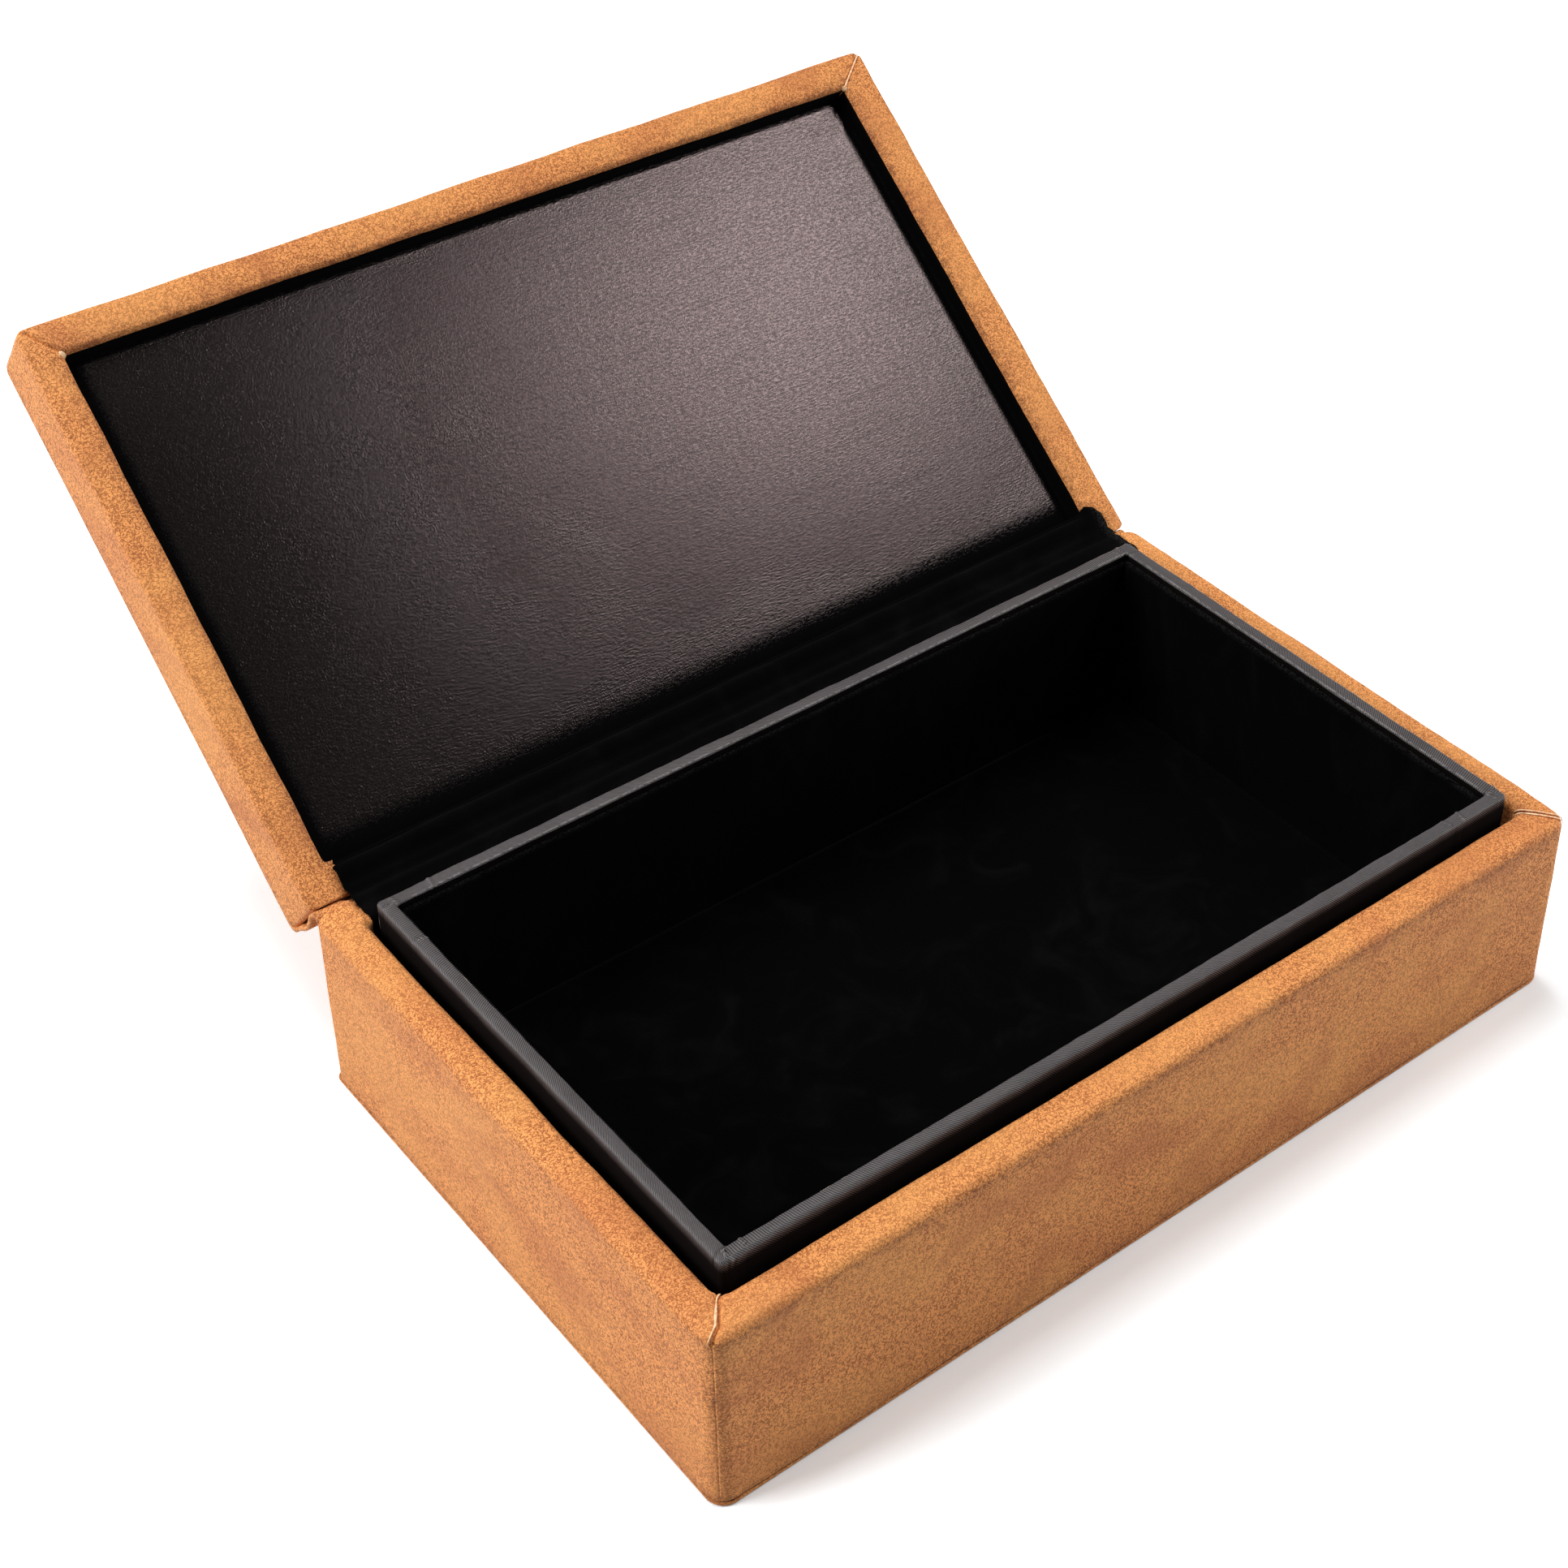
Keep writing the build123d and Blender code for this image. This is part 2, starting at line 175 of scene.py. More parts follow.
class Tree(Graph):
    """A material's node tree."""

    def __init__(self, name: str) -> None:
        """Start an empty material.

        Args:
            name: the material's name.
        """
        self.material = bpy.data.materials.new(name)
        self.material.use_nodes = True
        super().__init__(self.material.node_tree)
        self.tree.nodes.clear()

    def place(self) -> Wire:
        """Return the Object coordinates."""
        return self.node("ShaderNodeTexCoord", output="Object")

    def attribute(self, name: str) -> Wire:
        """Return a point attribute as a number, 0 where a mesh has none."""
        return self.node("ShaderNodeAttribute", attribute_name=name, output="Fac")

    def noise(self, place: Wire, size: float, detail: float = 2.0, bend: float = 0.0) -> Wire:
        """Return noise between 0 and 1 whose features are about size millimetres across."""
        values = {"Vector": place, "Scale": 1 / (size * MM), "Detail": detail, "Distortion": bend}
        return self.node("ShaderNodeTexNoise", values)

    def stretched(self, place: Wire, scale: tuple[float, float, float]) -> Wire:
        """Return the coordinates times a factor along each axis."""
        return self.node("ShaderNodeMapping", {"Vector": place, "Scale": scale})

    def part_of(self, place: Wire, axis: str) -> Wire:
        """Return one of the X, Y or Z parts of a vector."""
        return self.node("ShaderNodeSeparateXYZ", {0: place}, output=axis)

    def mix(self, factor: Wire | float, first: Wire | tuple, second: Wire | tuple) -> Wire:
        """Return a colour between first and second."""
        values = {0: factor, 6: opaque(first), 7: opaque(second)}
        return self.node("ShaderNodeMix", values, output=2, data_type="RGBA")

    def bump(self, height: Wire, depth: float, strength: float = 1.0,
             under: Wire | None = None) -> Wire:
        """Bend the normal by a height.

        Args:
            height: the height, from 0 to 1.
            depth: what a height of 1 stands for, in millimetres.
            strength: how much of the bend is used.
            under: a normal that is bent already.
        Returns:
            The bent normal.
        """
        values = {"Height": height, "Distance": depth * MM, "Strength": strength}
        if under:
            values["Normal"] = under
        return self.node("ShaderNodeBump", values)

    def principled(self, **inputs: object) -> Wire:
        """Return a Principled BSDF whose sockets are named with underscores for spaces."""
        values = {name.replace("_", " "): opaque(value) for name, value in inputs.items()}
        return self.node("ShaderNodeBsdfPrincipled", values)

    def shaded_where_marked(self, shown: Wire, shade_tone: tuple, gaps: Wire) -> bpy.types.Material:
        """Shade with a cloth that is dark in its gaps, with painted shade where it is marked.

        Args:
            shown: the cloth's own shader.
            shade_tone: the colour of the painted shade and of the weave's gaps.
            gaps: how open the weave is, from 0 to 1.
        Returns:
            The material.
        """
        under = self.principled(Base_Color=shade_tone, Roughness=0.9, Specular_IOR_Level=0.03)
        # painted shade where the point attribute marks it, and darker gaps in the weave
        turned = (self.attribute("burnish") + gaps).most(1.0)
        self.node_to_output(self.node("ShaderNodeMixShader", {0: turned, 1: shown, 2: under}))
        return self.material

    def finish(self, **inputs: object) -> bpy.types.Material:
        """Shade with one Principled BSDF and return the material."""
        self.node_to_output(self.principled(**inputs))
        return self.material

    def node_to_output(self, shader: Wire) -> None:
        """Send a shader to the material's surface."""
        self.node("ShaderNodeOutputMaterial", {"Surface": shader})


def opaque(value: object) -> object:
    """Return a colour of three numbers with its alpha, and anything else as it is."""
    return (*value, 1.0) if isinstance(value, tuple) and len(value) == 3 else value


# ---------------------------------------------------------------- finishes


@dataclass(frozen=True)
class Leather:
    """Suede-like faux leather: a worm-like grain over clouds of tan."""

    name: str = "tan leather"
    ridge: tuple = (0.92, 0.375, 0.110)
    valley: tuple = (0.31, 0.082, 0.020)
    rust: tuple = (0.44, 0.125, 0.042)
    honey: tuple = (0.88, 0.41, 0.12)
    # dark tone for worn leather and for painted shade
    worn_and_shaded_tone: tuple = (0.20, 0.058, 0.020)
    worm: float = 0.54
    fine: float = 0.27
    lump: float = 5.0
    streak: float = 19.0
    cloud: float = 26.0

    def make(self) -> bpy.types.Material:
        """Build the finish.

        Returns:
            Its material.
        """
        tree = Tree(self.name)
        place = tree.place()
        level = abs(tree.noise(place, self.worm, 0.6, 0.7) - 0.5)
        worm = level.ramp(0.02, 0.115, 0.0, 1.0)
        fine = tree.noise(place, self.fine, 2.0)
        body = tree.mix(worm * 0.75 + fine.ramp(0.3, 0.7) * 0.3, self.valley, self.ridge)
        clouds = tree.noise(place, self.cloud, 3.0, 0.6).ramp(0.38, 0.66)
        streaks = tree.noise(tree.stretched(place, (1.0, 0.35, 1.6)), self.streak, 4.0, 0.8)
        patched = tree.mix(clouds * 0.3, body, self.honey)
        patched = tree.mix(streaks.ramp(0.46, 0.72) * 0.42, patched, self.rust)
        # the point attribute read here marks worn leather in some places and painted shade in others: the lid
        # rim's roundings and recess wall, the band under the base rim's roll, and the base's foot
        edge = tree.attribute("burnish")
        darkening_mask = edge * (1 - worm * 0.5) * tree.noise(place, 1.6, 2.0).ramp(0.25, 0.6)
        colour = tree.mix(darkening_mask * 0.75, patched, self.worn_and_shaded_tone)
        lumps = tree.bump(tree.noise(place, self.lump, 3.0), 0.25, 0.5)
        grain = tree.bump(worm * 0.8 + fine * 0.35, 0.06, 0.8, lumps)
        return tree.finish(Base_Color=colour, Roughness=0.78 - worm * 0.12, Normal=grain,
                           Specular_IOR_Level=0.3, Sheen_Weight=0.06, Sheen_Roughness=0.4)


@dataclass(frozen=True)
class RawEdge:
    """The pale cut edge of leather."""

    name: str = "leather cut edge"
    pale: tuple = (0.95, 0.66, 0.40)
    stained: tuple = (0.72, 0.36, 0.16)
    fibre: float = 0.8

    def make(self) -> bpy.types.Material:
        """Build the finish.

        Returns:
            Its material.
        """
        tree = Tree(self.name)
        fibres = tree.noise(tree.place(), self.fibre, 3.0)
        colour = tree.mix(fibres.ramp(0.4, 0.7), self.pale, self.stained)
        return tree.finish(Base_Color=colour, Roughness=0.85, Normal=tree.bump(fibres, 0.05))


@dataclass(frozen=True)
class Twill:
    """Conductive tape: diagonal ribs, painted highlights on edges and creases, and painted shade."""

    name: str = "conductive twill"
    rib: tuple = (0.135, 0.117, 0.119)
    groove: tuple = (0.026, 0.022, 0.023)
    # colour of the painted highlights on the tape's edges and creases
    thread: tuple = (0.27, 0.245, 0.245)
    # colour of the painted shade
    shade_tone: tuple = (0.0045, 0.0032, 0.003)
    pitch: float = 0.46
    slub: float = 0.5
    cloud: float = 9.0

    def make(self) -> bpy.types.Material:
        """Build the finish.

        Returns:
            Its material.
        """
        tree = Tree(self.name)
        place = tree.node("ShaderNodeUVMap", uv_map="UVMap")
        turn = FULL_TURN / (self.pitch * MM)
        diagonal = (tree.part_of(place, "X") + tree.part_of(place, "Y") * 0.9) * turn
        rib = diagonal.sine() * 0.5 + 0.5
        slub = tree.noise(tree.stretched(place, (0.3, 1.0, 1.0)), self.slub, 2.0)
        cloud = tree.noise(tree.place(), self.cloud, 3.0)
        body = tree.mix(rib * 0.75 + slub * 0.35 - 0.1, self.groove, self.rib)
        body = tree.mix(cloud.ramp(0.45, 0.8) * 0.3, body, self.groove)
        # painted highlight along the tape's rounded edges and creases
        pale = tree.attribute("selvedge") * tree.noise(place, 0.7, 2.0).ramp(0.35, 0.6)
        colour = tree.mix(pale * 0.85, body, self.thread)
        normal = tree.bump(rib * 0.6 + slub * 0.6, 0.06, 0.8)
        woven = tree.principled(Base_Color=colour, Roughness=0.5, Normal=normal,
                                Specular_IOR_Level=0.5)
        # painted shade on the inner leg, the lower outer side and the dips beside the creases; the weave's gaps
        # are darker too
        return tree.shaded_where_marked(woven, self.shade_tone, (1 - rib) * 0.4)


@dataclass(frozen=True)
class Velvet:
    """Black velvet whose nap catches a little light where it leans."""

    name: str = "black velvet"
    deep: tuple = (0.0010, 0.0009, 0.0010)
    brushed: tuple = (0.0036, 0.0031, 0.0031)
    lint: tuple = (0.040, 0.037, 0.036)
    nap: float = 13.0
    pile: float = 0.4

    def make(self) -> bpy.types.Material:
        """Build the finish.

        Returns:
            Its material.
        """
        tree = Tree(self.name)
        place = tree.place()
        nap = tree.noise(tree.stretched(place, (1.0, 1.0, 0.45)), self.nap, 4.0, 1.2)
        pile = tree.noise(place, self.pile, 2.0)
        colour = tree.mix(nap.ramp(0.45, 0.8) * (pile * 0.6 + 0.5), self.deep, self.brushed)
        linted = tree.attribute("burnish") * pile.ramp(0.35, 0.7)
        colour = tree.mix(linted, colour, self.lint)
        return tree.finish(Base_Color=colour, Roughness=1.0, Normal=tree.bump(pile, 0.15, 0.6),
                           Specular_IOR_Level=0.02, Sheen_Weight=0.010, Sheen_Roughness=0.5)


@dataclass(frozen=True)
class Satin:
    """The panel's closely woven cover: a soft gloss on the threads, painted shade along its edges."""

    name: str = "charcoal satin"
    warp: tuple = (0.0006, 0.0005, 0.0005)
    weft: tuple = (0.0026, 0.0021, 0.0023)
    shine: tuple = (1.0, 0.77, 0.76, 1.0)
    # colour of the painted shade along the pad's edges
    shade_tone: tuple = (0.0012, 0.0010, 0.0012)
    gloss: float = 0.55
    rough: float = 0.195
    gap: float = 0.45
    thread: float = 0.27
    slub: float = 1.1

    def make(self) -> bpy.types.Material:
        """Build the finish.

        Returns:
            Its material.
        """
        tree = Tree(self.name)
        place = tree.node("ShaderNodeUVMap", uv_map="UVMap")
        weft = tree.noise(tree.stretched(place, (0.22, 1.0, 1.0)), self.thread, 2.0)
        warp = tree.noise(tree.stretched(place, (1.0, 0.5, 1.0)), self.thread, 1.0)
        slub = tree.noise(tree.stretched(place, (0.05, 1.0, 1.0)), self.slub, 2.0)
        weave = weft * 0.65 + warp * 0.45 - slub.ramp(0.5, 0.72) * 0.05
        colour = tree.mix(weave.ramp(0.35, 0.75), self.warp, self.weft)
        normal = tree.bump(weave, 0.07, 0.8)
        woven = tree.principled(Base_Color=colour, Normal=normal,
                                Roughness=self.rough + 0.06 - weave * 0.12,
                                Specular_IOR_Level=self.gloss, Specular_Tint=self.shine)
        return tree.shaded_where_marked(woven, self.shade_tone, weave.ramp(0.66, 0.40) * self.gap)


@dataclass(frozen=True)
class Stock:
    """A hidden sheet stock, such as board, foam or metallised cloth."""

    name: str
    light: tuple
    dark: tuple
    speck: float
    rough: float
    metal: float = 0.0

    def make(self) -> bpy.types.Material:
        """Build the finish.

        Returns:
            Its material.
        """
        tree = Tree(self.name)
        specks = tree.noise(tree.place(), self.speck, 3.0)
        colour = tree.mix(specks.ramp(0.35, 0.65), self.dark, self.light)
        return tree.finish(Base_Color=colour, Roughness=self.rough, Metallic=self.metal,
                           Normal=tree.bump(specks, 0.08, 0.5))


class Finish(Enum):
    """The finishes of the box, by the material slot they belong to."""

    LEATHER = "leather"
    RAW_EDGE = "raw_edge"
    TWILL = "conductive_twill"
    VELVET = "velvet"
    SATIN = "satin"
    BOARD = "board"
    FOAM = "foam"
    SHIELD = "shield_fabric"
    THREAD = "thread"


RECIPES = {
    Finish.LEATHER: Leather(),
    Finish.RAW_EDGE: RawEdge(),
    Finish.TWILL: Twill(),
    Finish.VELVET: Velvet(),
    Finish.SATIN: Satin(),
    Finish.THREAD: Stock("pale thread", (0.20, 0.18, 0.175), (0.06, 0.055, 0.054), 0.9, 0.8),
    Finish.BOARD: Stock("grey board", (0.42, 0.37, 0.31), (0.30, 0.26, 0.21), 0.8, 0.9),
    Finish.FOAM: Stock("foam", (0.14, 0.14, 0.15), (0.07, 0.07, 0.075), 0.7, 0.95),
    Finish.SHIELD: Stock("metallised cloth", (0.60, 0.60, 0.62), (0.38, 0.38, 0.40), 0.4, 0.4,
                         metal=0.7),
}


# ---------------------------------------------------------------- meshes


def opened(points: np.ndarray) -> np.ndarray:
    """Turn the lid open about the hinge.

    Args:
        points: points of the closed lid, in millimetres.
    Returns:
        The same points where the open lid has them.
    """
    out, up = points[..., 1] - AXIS_Y, points[..., 2] - AXIS_Z
    cosine, sine = math.cos(OPEN_ANGLE), math.sin(OPEN_ANGLE)
    moved = points.copy()
    moved[..., 1] = AXIS_Y + out * cosine + up * sine
    moved[..., 2] = AXIS_Z - out * sine + up * cosine
    return moved


def step(value: np.ndarray, low: float, high: float) -> np.ndarray:
    """Return a smooth step from 0 at low to 1 at high."""
    share = np.clip((value - low) / (high - low), 0, 1)
    return share * share * (3 - 2 * share)


SINES = 7
TESTED_COLUMN = 5


def wave(points: np.ndarray, size: float, seed: int) -> np.ndarray:
    """Sum a few sines of random direction and length.

    Args:
        points: where the waviness is wanted, in millimetres.
        size: about how long a swell is, in millimetres.
        seed: the seed of the directions and lengths.
    Returns:
        Smooth waviness of about -1 to 1.
    """
    chance = np.random.default_rng(seed)
    total = np.zeros(points.shape[:-1])
    for _ in range(SINES):
        heading = chance.normal(size=3)
        heading *= FULL_TURN * chance.uniform(0.6, 1.6) / (size * np.linalg.norm(heading))
        total += np.sin(points @ heading + chance.uniform(0, FULL_TURN))
    return total / math.sqrt(2 * SINES)


@dataclass(frozen=True)
class Unevenness:
    """How a skin sinks in places: the depth, size and seed of long and of short swells."""

    long: tuple[float, float, int]
    short: tuple[float, float, int]
    sunk: float

    def sink(self, grid: np.ndarray) -> np.ndarray:
        """Return how far each point moves outwards, which is never more than 0."""
        swells = (depth * wave(grid, size, seed) for depth, size, seed in (self.long, self.short))
        return np.minimum(sum(swells) - self.sunk, 0)


def outward(grid: np.ndarray) -> np.ndarray:
    """Return the unit normals of a grid of points, along its columns cross its rows."""
    normal = np.cross(np.gradient(grid, axis=1), np.gradient(grid, axis=0))
    return normal / np.maximum(np.linalg.norm(normal, axis=-1, keepdims=True), TINY)


def faced(grid: np.ndarray, row: int, axis: int, sign: float = 1.0) -> np.ndarray:
    """Turn a grid over where its faces point the wrong way.

    Args:
        grid: the grid of points.
        row: the row that is tested.
        axis: the axis along which its faces should point.
        sign: 1 where they should point up the axis, and -1 down it.
    Returns:
        The grid, or the same grid with its columns in the other order.
    """
    return grid if outward(grid)[row, TESTED_COLUMN, axis] * sign > 0 else grid[:, ::-1]


def quads(index: np.ndarray) -> np.ndarray:
    """Return the four-cornered faces between neighbouring rows and columns of indices."""
    corners = (index[:-1, :-1], index[:-1, 1:], index[1:, 1:], index[1:, :-1])
    return np.stack(corners, axis=-1).reshape(-1, 4)


def tube(rows: int, columns: int) -> np.ndarray:
    """Return the four-cornered faces of a tube whose points are rows of closed loops."""
    index = np.arange(rows * columns).reshape(rows, columns)
    return quads(np.concatenate([index, index[:, :1]], axis=1))


def level_grid(x: np.ndarray, y: np.ndarray) -> tuple[np.ndarray, np.ndarray]:
    """Lay a grid of points flat at height 0.

    Args:
        x: the places of its columns.
        y: the places of its rows.
    Returns:
        The grid, and how far each of its points is from its border.
    """
    grid = np.zeros((len(y), len(x), 3))
    grid[..., 0] = x[None, :]
    grid[..., 1] = y[:, None]
    border = np.minimum(np.minimum(x - x[0], x[-1] - x)[None, :],
                        np.minimum(y - y[0], y[-1] - y)[:, None])
    return grid, border


def lengths(grid: np.ndarray, axis: int) -> np.ndarray:
    """Measure along the rows or the columns of a grid.

    Args:
        grid: the grid of points.
        axis: 1 for along its rows, 0 for along its columns.
    Returns:
        How far each point is from the start, in millimetres.
    """
    steps = np.linalg.norm(np.diff(grid, axis=axis), axis=-1)
    start = np.zeros_like(np.take(steps, [0], axis=axis))
    return np.concatenate([start, np.cumsum(steps, axis=axis)], axis=axis)


@dataclass
class Piece:
    """A visible piece: a thin shell between a grid of points and the same grid set back."""

    name: str
    grid: np.ndarray
    thickness: float
    finish: Finish
    marks: dict[str, np.ndarray] = field(default_factory=dict)

    def make(self) -> bpy.types.Object:
        """Make the shell, with its UV map and its point attributes.

        Returns:
            The shell as an object, in metres.
        """
        back = self.grid - outward(self.grid) * self.thickness
        rows, columns = self.grid.shape[:2]
        front, rear = np.arange(2 * rows * columns).reshape(2, rows, columns)
        faces = [quads(front), quads(rear)[:, ::-1],
                 quads(np.stack([rear[0], front[0]])), quads(np.stack([front[-1], rear[-1]])),
                 quads(np.stack([rear[:, 0], front[:, 0]], axis=1)),
                 quads(np.stack([front[:, -1], rear[:, -1]], axis=1))]
        points = np.concatenate([self.grid.reshape(-1, 3), back.reshape(-1, 3)])
        across = np.mean(lengths(self.grid, 0), axis=1, keepdims=True)
        along = np.max(lengths(self.grid, 1), axis=0, keepdims=True)
        flat = np.stack(np.broadcast_arrays(along, across), axis=-1).reshape(-1, 2)
        marks = {name: np.tile(mark.reshape(-1), 2) for name, mark in self.marks.items()}
        return solid(self.name, points, np.concatenate(faces), self.finish,
                     np.tile(flat, (2, 1)), marks)


def linked(name: str, data: bpy.types.ID) -> bpy.types.Object:
    """Put a mesh, a lamp or a camera into the scene.

    Args:
        name: the object's name.
        data: what it holds.
    Returns:
        The new object.
    """
    made = bpy.data.objects.new(name, data)
    bpy.context.scene.collection.objects.link(made)
    return made


def solid(name: str, points: np.ndarray, faces: np.ndarray | list, finish: Finish,
          flat: np.ndarray | None = None, marks: dict[str, np.ndarray] | None = None
          ) -> bpy.types.Object:
    """Make a smooth-shaded object from millimetre points.

    Args:
        name: the object's name.
        points: its points, in millimetres.
        faces: its faces, as rows of indices.
        finish: what it is made of.
        flat: each point's place on the flat cloth, in millimetres.
        marks: point attributes by name.
    Returns:
        The object, in metres, at the origin.
    """
    mesh = bpy.data.meshes.new(name)
    rows = faces.tolist() if isinstance(faces, np.ndarray) else faces
    mesh.from_pydata((points * MM).tolist(), [], rows)
    mesh.shade_smooth()
    if flat is not None:
        corner = np.empty(len(mesh.loops), np.int32)
        mesh.loops.foreach_get("vertex_index", corner)
        layer = mesh.uv_layers.new(name="UVMap")
        layer.data.foreach_set("uv", (flat[corner] * MM).astype(np.float32).reshape(-1))
    for mark, values in (marks or {}).items():
        mesh.attributes.new(mark, "FLOAT", "POINT").data.foreach_set(
            "value", values.astype(np.float32).reshape(-1))
    made = linked(name, mesh)
    mesh.materials.append(MATERIALS[finish])
    return made


class Side(Enum):
    """The four sides of a wall, counter-clockwise from above."""

    FRONT = 0
    RIGHT = 1
    REAR = 2
    LEFT = 3


CORNER_STEPS = 9
FOOT_STEPS = 5
ROLL_STEPS = 11
TOP_STEPS = 9
TURN_STEPS = 8
FACE_STEP = 1.6
FEWEST_STEPS = 4
LAP_STARTS = {Side.LEFT: 1.2, Side.RIGHT: -0.3}
LAP_RUN = 1.6


class Level(NamedTuple):
    """A level of a wall's section: its shares of the rounding, the top and the inner turn."""

    bend: float
    top: float
    inner: float
    height: float


@dataclass(frozen=True)
class Ring:
    """One level of a wall in plan: a rectangle with rounded corners."""

    left: float
    right: float
    front: float
    rear: float
    height: float
    front_radius: float
    rear_radius: float

    def run(self, side: Side, steps: int, end: float | None = None) -> np.ndarray:
        """Return points from one corner's middle to the next, counter-clockwise.

        Args:
            side: the side that is followed.
            steps: how many steps its straight part takes.
            end: where the left and right sides run on to, straight, in place of rear corners.
        Returns:
            The points, one row each.
        """
        corners = ((self.left, self.front), (self.right, self.front),
                   (self.right, self.rear), (self.left, self.rear))
        radii = (self.front_radius, self.front_radius, self.rear_radius, self.rear_radius)
        inward = ((1, 1), (-1, 1), (-1, -1), (1, -1))
        facing = math.radians(270 + 90 * side.value)
        quarter = math.pi / 4
        parts = []
        for corner, start in ((side.value, facing - quarter), ((side.value + 1) % 4, facing)):
            radius = radii[corner]
            if end is not None and corner >= 2:
                y = np.linspace(self.rear - radius, end, CORNER_STEPS)[::1 if parts else -1]
                parts.append(np.stack([np.full(CORNER_STEPS, corners[corner][0]), y], axis=-1))
                continue
            centre = np.array(corners[corner]) + radius * np.array(inward[corner])
            turn = np.linspace(start, start + quarter, CORNER_STEPS)
            parts.append(centre + radius * np.stack([np.cos(turn), np.sin(turn)], axis=-1))
        straight = np.linspace(parts[0][-1], parts[1][0], steps + 1)[1:-1]
        plan = np.concatenate([parts[0], straight, parts[1]])
        return np.concatenate([plan, np.full((len(plan), 1), self.height)], axis=1)


@dataclass(frozen=True)
class Wall:
    """The cross-section of a wrapped wall, which runs round a rectangle.

    The section starts at the foot, goes up the outer face, over the rim and down inside.
    """

    left: float
    right: float
    front: float
    rear: float
    widths: tuple[float, float, float, float]
    foot: float
    rim: float
    turn_in: float
    roundings: tuple[float, float, float, float]
    inner_rounding: float
    front_radius: float
    rear_radius: float
    least_radius: float = 0.8
    crown: float = 0.12
    foot_rounding: float = 0.5
    square: bool = False
    lap: float = 2.2
    rear_turn: float = 2.0

    def section(self) -> list[Level]:
        """List the levels, from the foot over the rim to the end of the turn-in.

        Returns:
            The levels.
        """
        up = math.copysign(1.0, self.rim - self.foot)
        roll = self.roundings[Side.FRONT.value]
        levels = []
        for turn in np.linspace(0, QUARTER, FOOT_STEPS):
            levels.append(Level(-self.foot_rounding * (1 - math.sin(turn)), 0, 0,
                                self.foot + up * self.foot_rounding * (1 - math.cos(turn))))
        low, high = self.foot_rounding, abs(self.rim - self.foot) - roll
        for share in self.shares(abs(self.rim - self.foot))[1:-1]:
            levels.append(Level(0, 0, 0, self.foot + up * (low + (high - low) * share)))
        for turn in np.linspace(0, QUARTER, ROLL_STEPS):
            levels.append(Level(1 - math.cos(turn), 0, 0,
                                self.rim - up * roll * (1 - math.sin(turn))))
        for share in np.linspace(0, 1, TOP_STEPS)[1:-1]:
            levels.append(Level(1, share, 0,
                                self.rim + up * (self.crown * math.sin(math.pi * share))))
        low, deep = self.inner_rounding, abs(self.rim - self.turn_in)
        for turn in np.linspace(0, QUARTER, TURN_STEPS):
            levels.append(Level(1, 1, math.sin(turn),
                                self.rim - up * low * (1 - math.cos(turn))))
        for share in self.shares(deep)[1:]:
            levels.append(Level(1, 1, 1, self.rim - up * (low + (deep - low) * share)))
        return levels

    def shares(self, tall: float) -> np.ndarray:
        """Return even shares from 0 to 1 for the levels of a face this tall."""
        return np.linspace(0, 1, max(FEWEST_STEPS, round(tall / FACE_STEP)))

    def rings(self) -> list[Ring]:
        """Lay the section's levels out in plan.

        Returns:
            The levels, from the foot over the rim to the end of the turn-in.
        """
        made = []
        for bend, top, inner, height in self.section():
            insets = []
            for side in Side:
                rounding = self.roundings[side.value]
                flat = self.widths[side.value] - rounding - self.inner_rounding
                outer = rounding * bend if bend >= 0 else -bend
                insets.append(outer + flat * top + self.inner_rounding * inner)
            front, right, rear, left = insets
            made.append(Ring(
                self.left + left, self.right - right, self.front + front, self.rear - rear,
                height,
                max(self.front_radius - front, self.least_radius),
                max(self.rear_radius - rear, self.least_radius)))
        return made

    def side(self, side: Side, spacing: float) -> np.ndarray:
        """Lay out one side.

        The front corners are mitred. So are the rear ones, unless the wall is square: then
        the left and right walls run on to the back, and the rear wall stands between them.

        Args:
            side: the side.
            spacing: about how far apart its columns are.
        Returns:
            Its grid of points, as rows of the section.
        """
        rings = self.rings()
        crosswise = side in (Side.FRONT, Side.REAR)
        run = self.right - self.left if crosswise else self.rear - self.front
        steps = round(run / spacing)
        if not self.square:
            return np.stack([ring.run(side, steps) for ring in rings])
        if side is Side.REAR:
            ends = (self.right - self.widths[Side.RIGHT.value] - self.lap,
                    self.left + self.widths[Side.LEFT.value] + self.lap)
            x = np.linspace(*ends, steps)
            return np.stack([np.stack([x, np.full(steps, ring.rear),
                                       np.full(steps, ring.height)], axis=-1)
                             for ring in rings])
        grid = np.stack([ring.run(side, steps, self.rear) for ring in rings])
        if side is not Side.FRONT:
            self.widen(grid, side)
        return grid

    def widen(self, grid: np.ndarray, side: Side) -> None:
        """Lap a side wall's rim over the rear wall, and round its back edge off in plan.

        Args:
            grid: the side's grid, which is changed.
            side: the left or the right side.
        """
        inward = 1 if side is Side.LEFT else -1
        top = np.array([level.top for level in self.section()])[:, None]
        start = self.rear - self.widths[Side.REAR.value] - LAP_STARTS[side]
        lapped = self.lap * step(grid[..., 1], start, start + LAP_RUN) * top
        back = np.clip(grid[..., 1] - (self.rear - self.rear_turn), 0, 0.98 * self.rear_turn)
        turned = self.rear_turn - np.sqrt(self.rear_turn ** 2 - back ** 2)
        grid[..., 0] += inward * (lapped + turned * np.clip(1 - 2 * top, 0, 1))

    def rim_share(self) -> np.ndarray:
        """Return 1 for the levels on the rim and its roundings, and 0 down both faces."""
        return np.array([1.0 if level.bend > 0 and level.inner < 1 else 0.0
                         for level in self.section()])


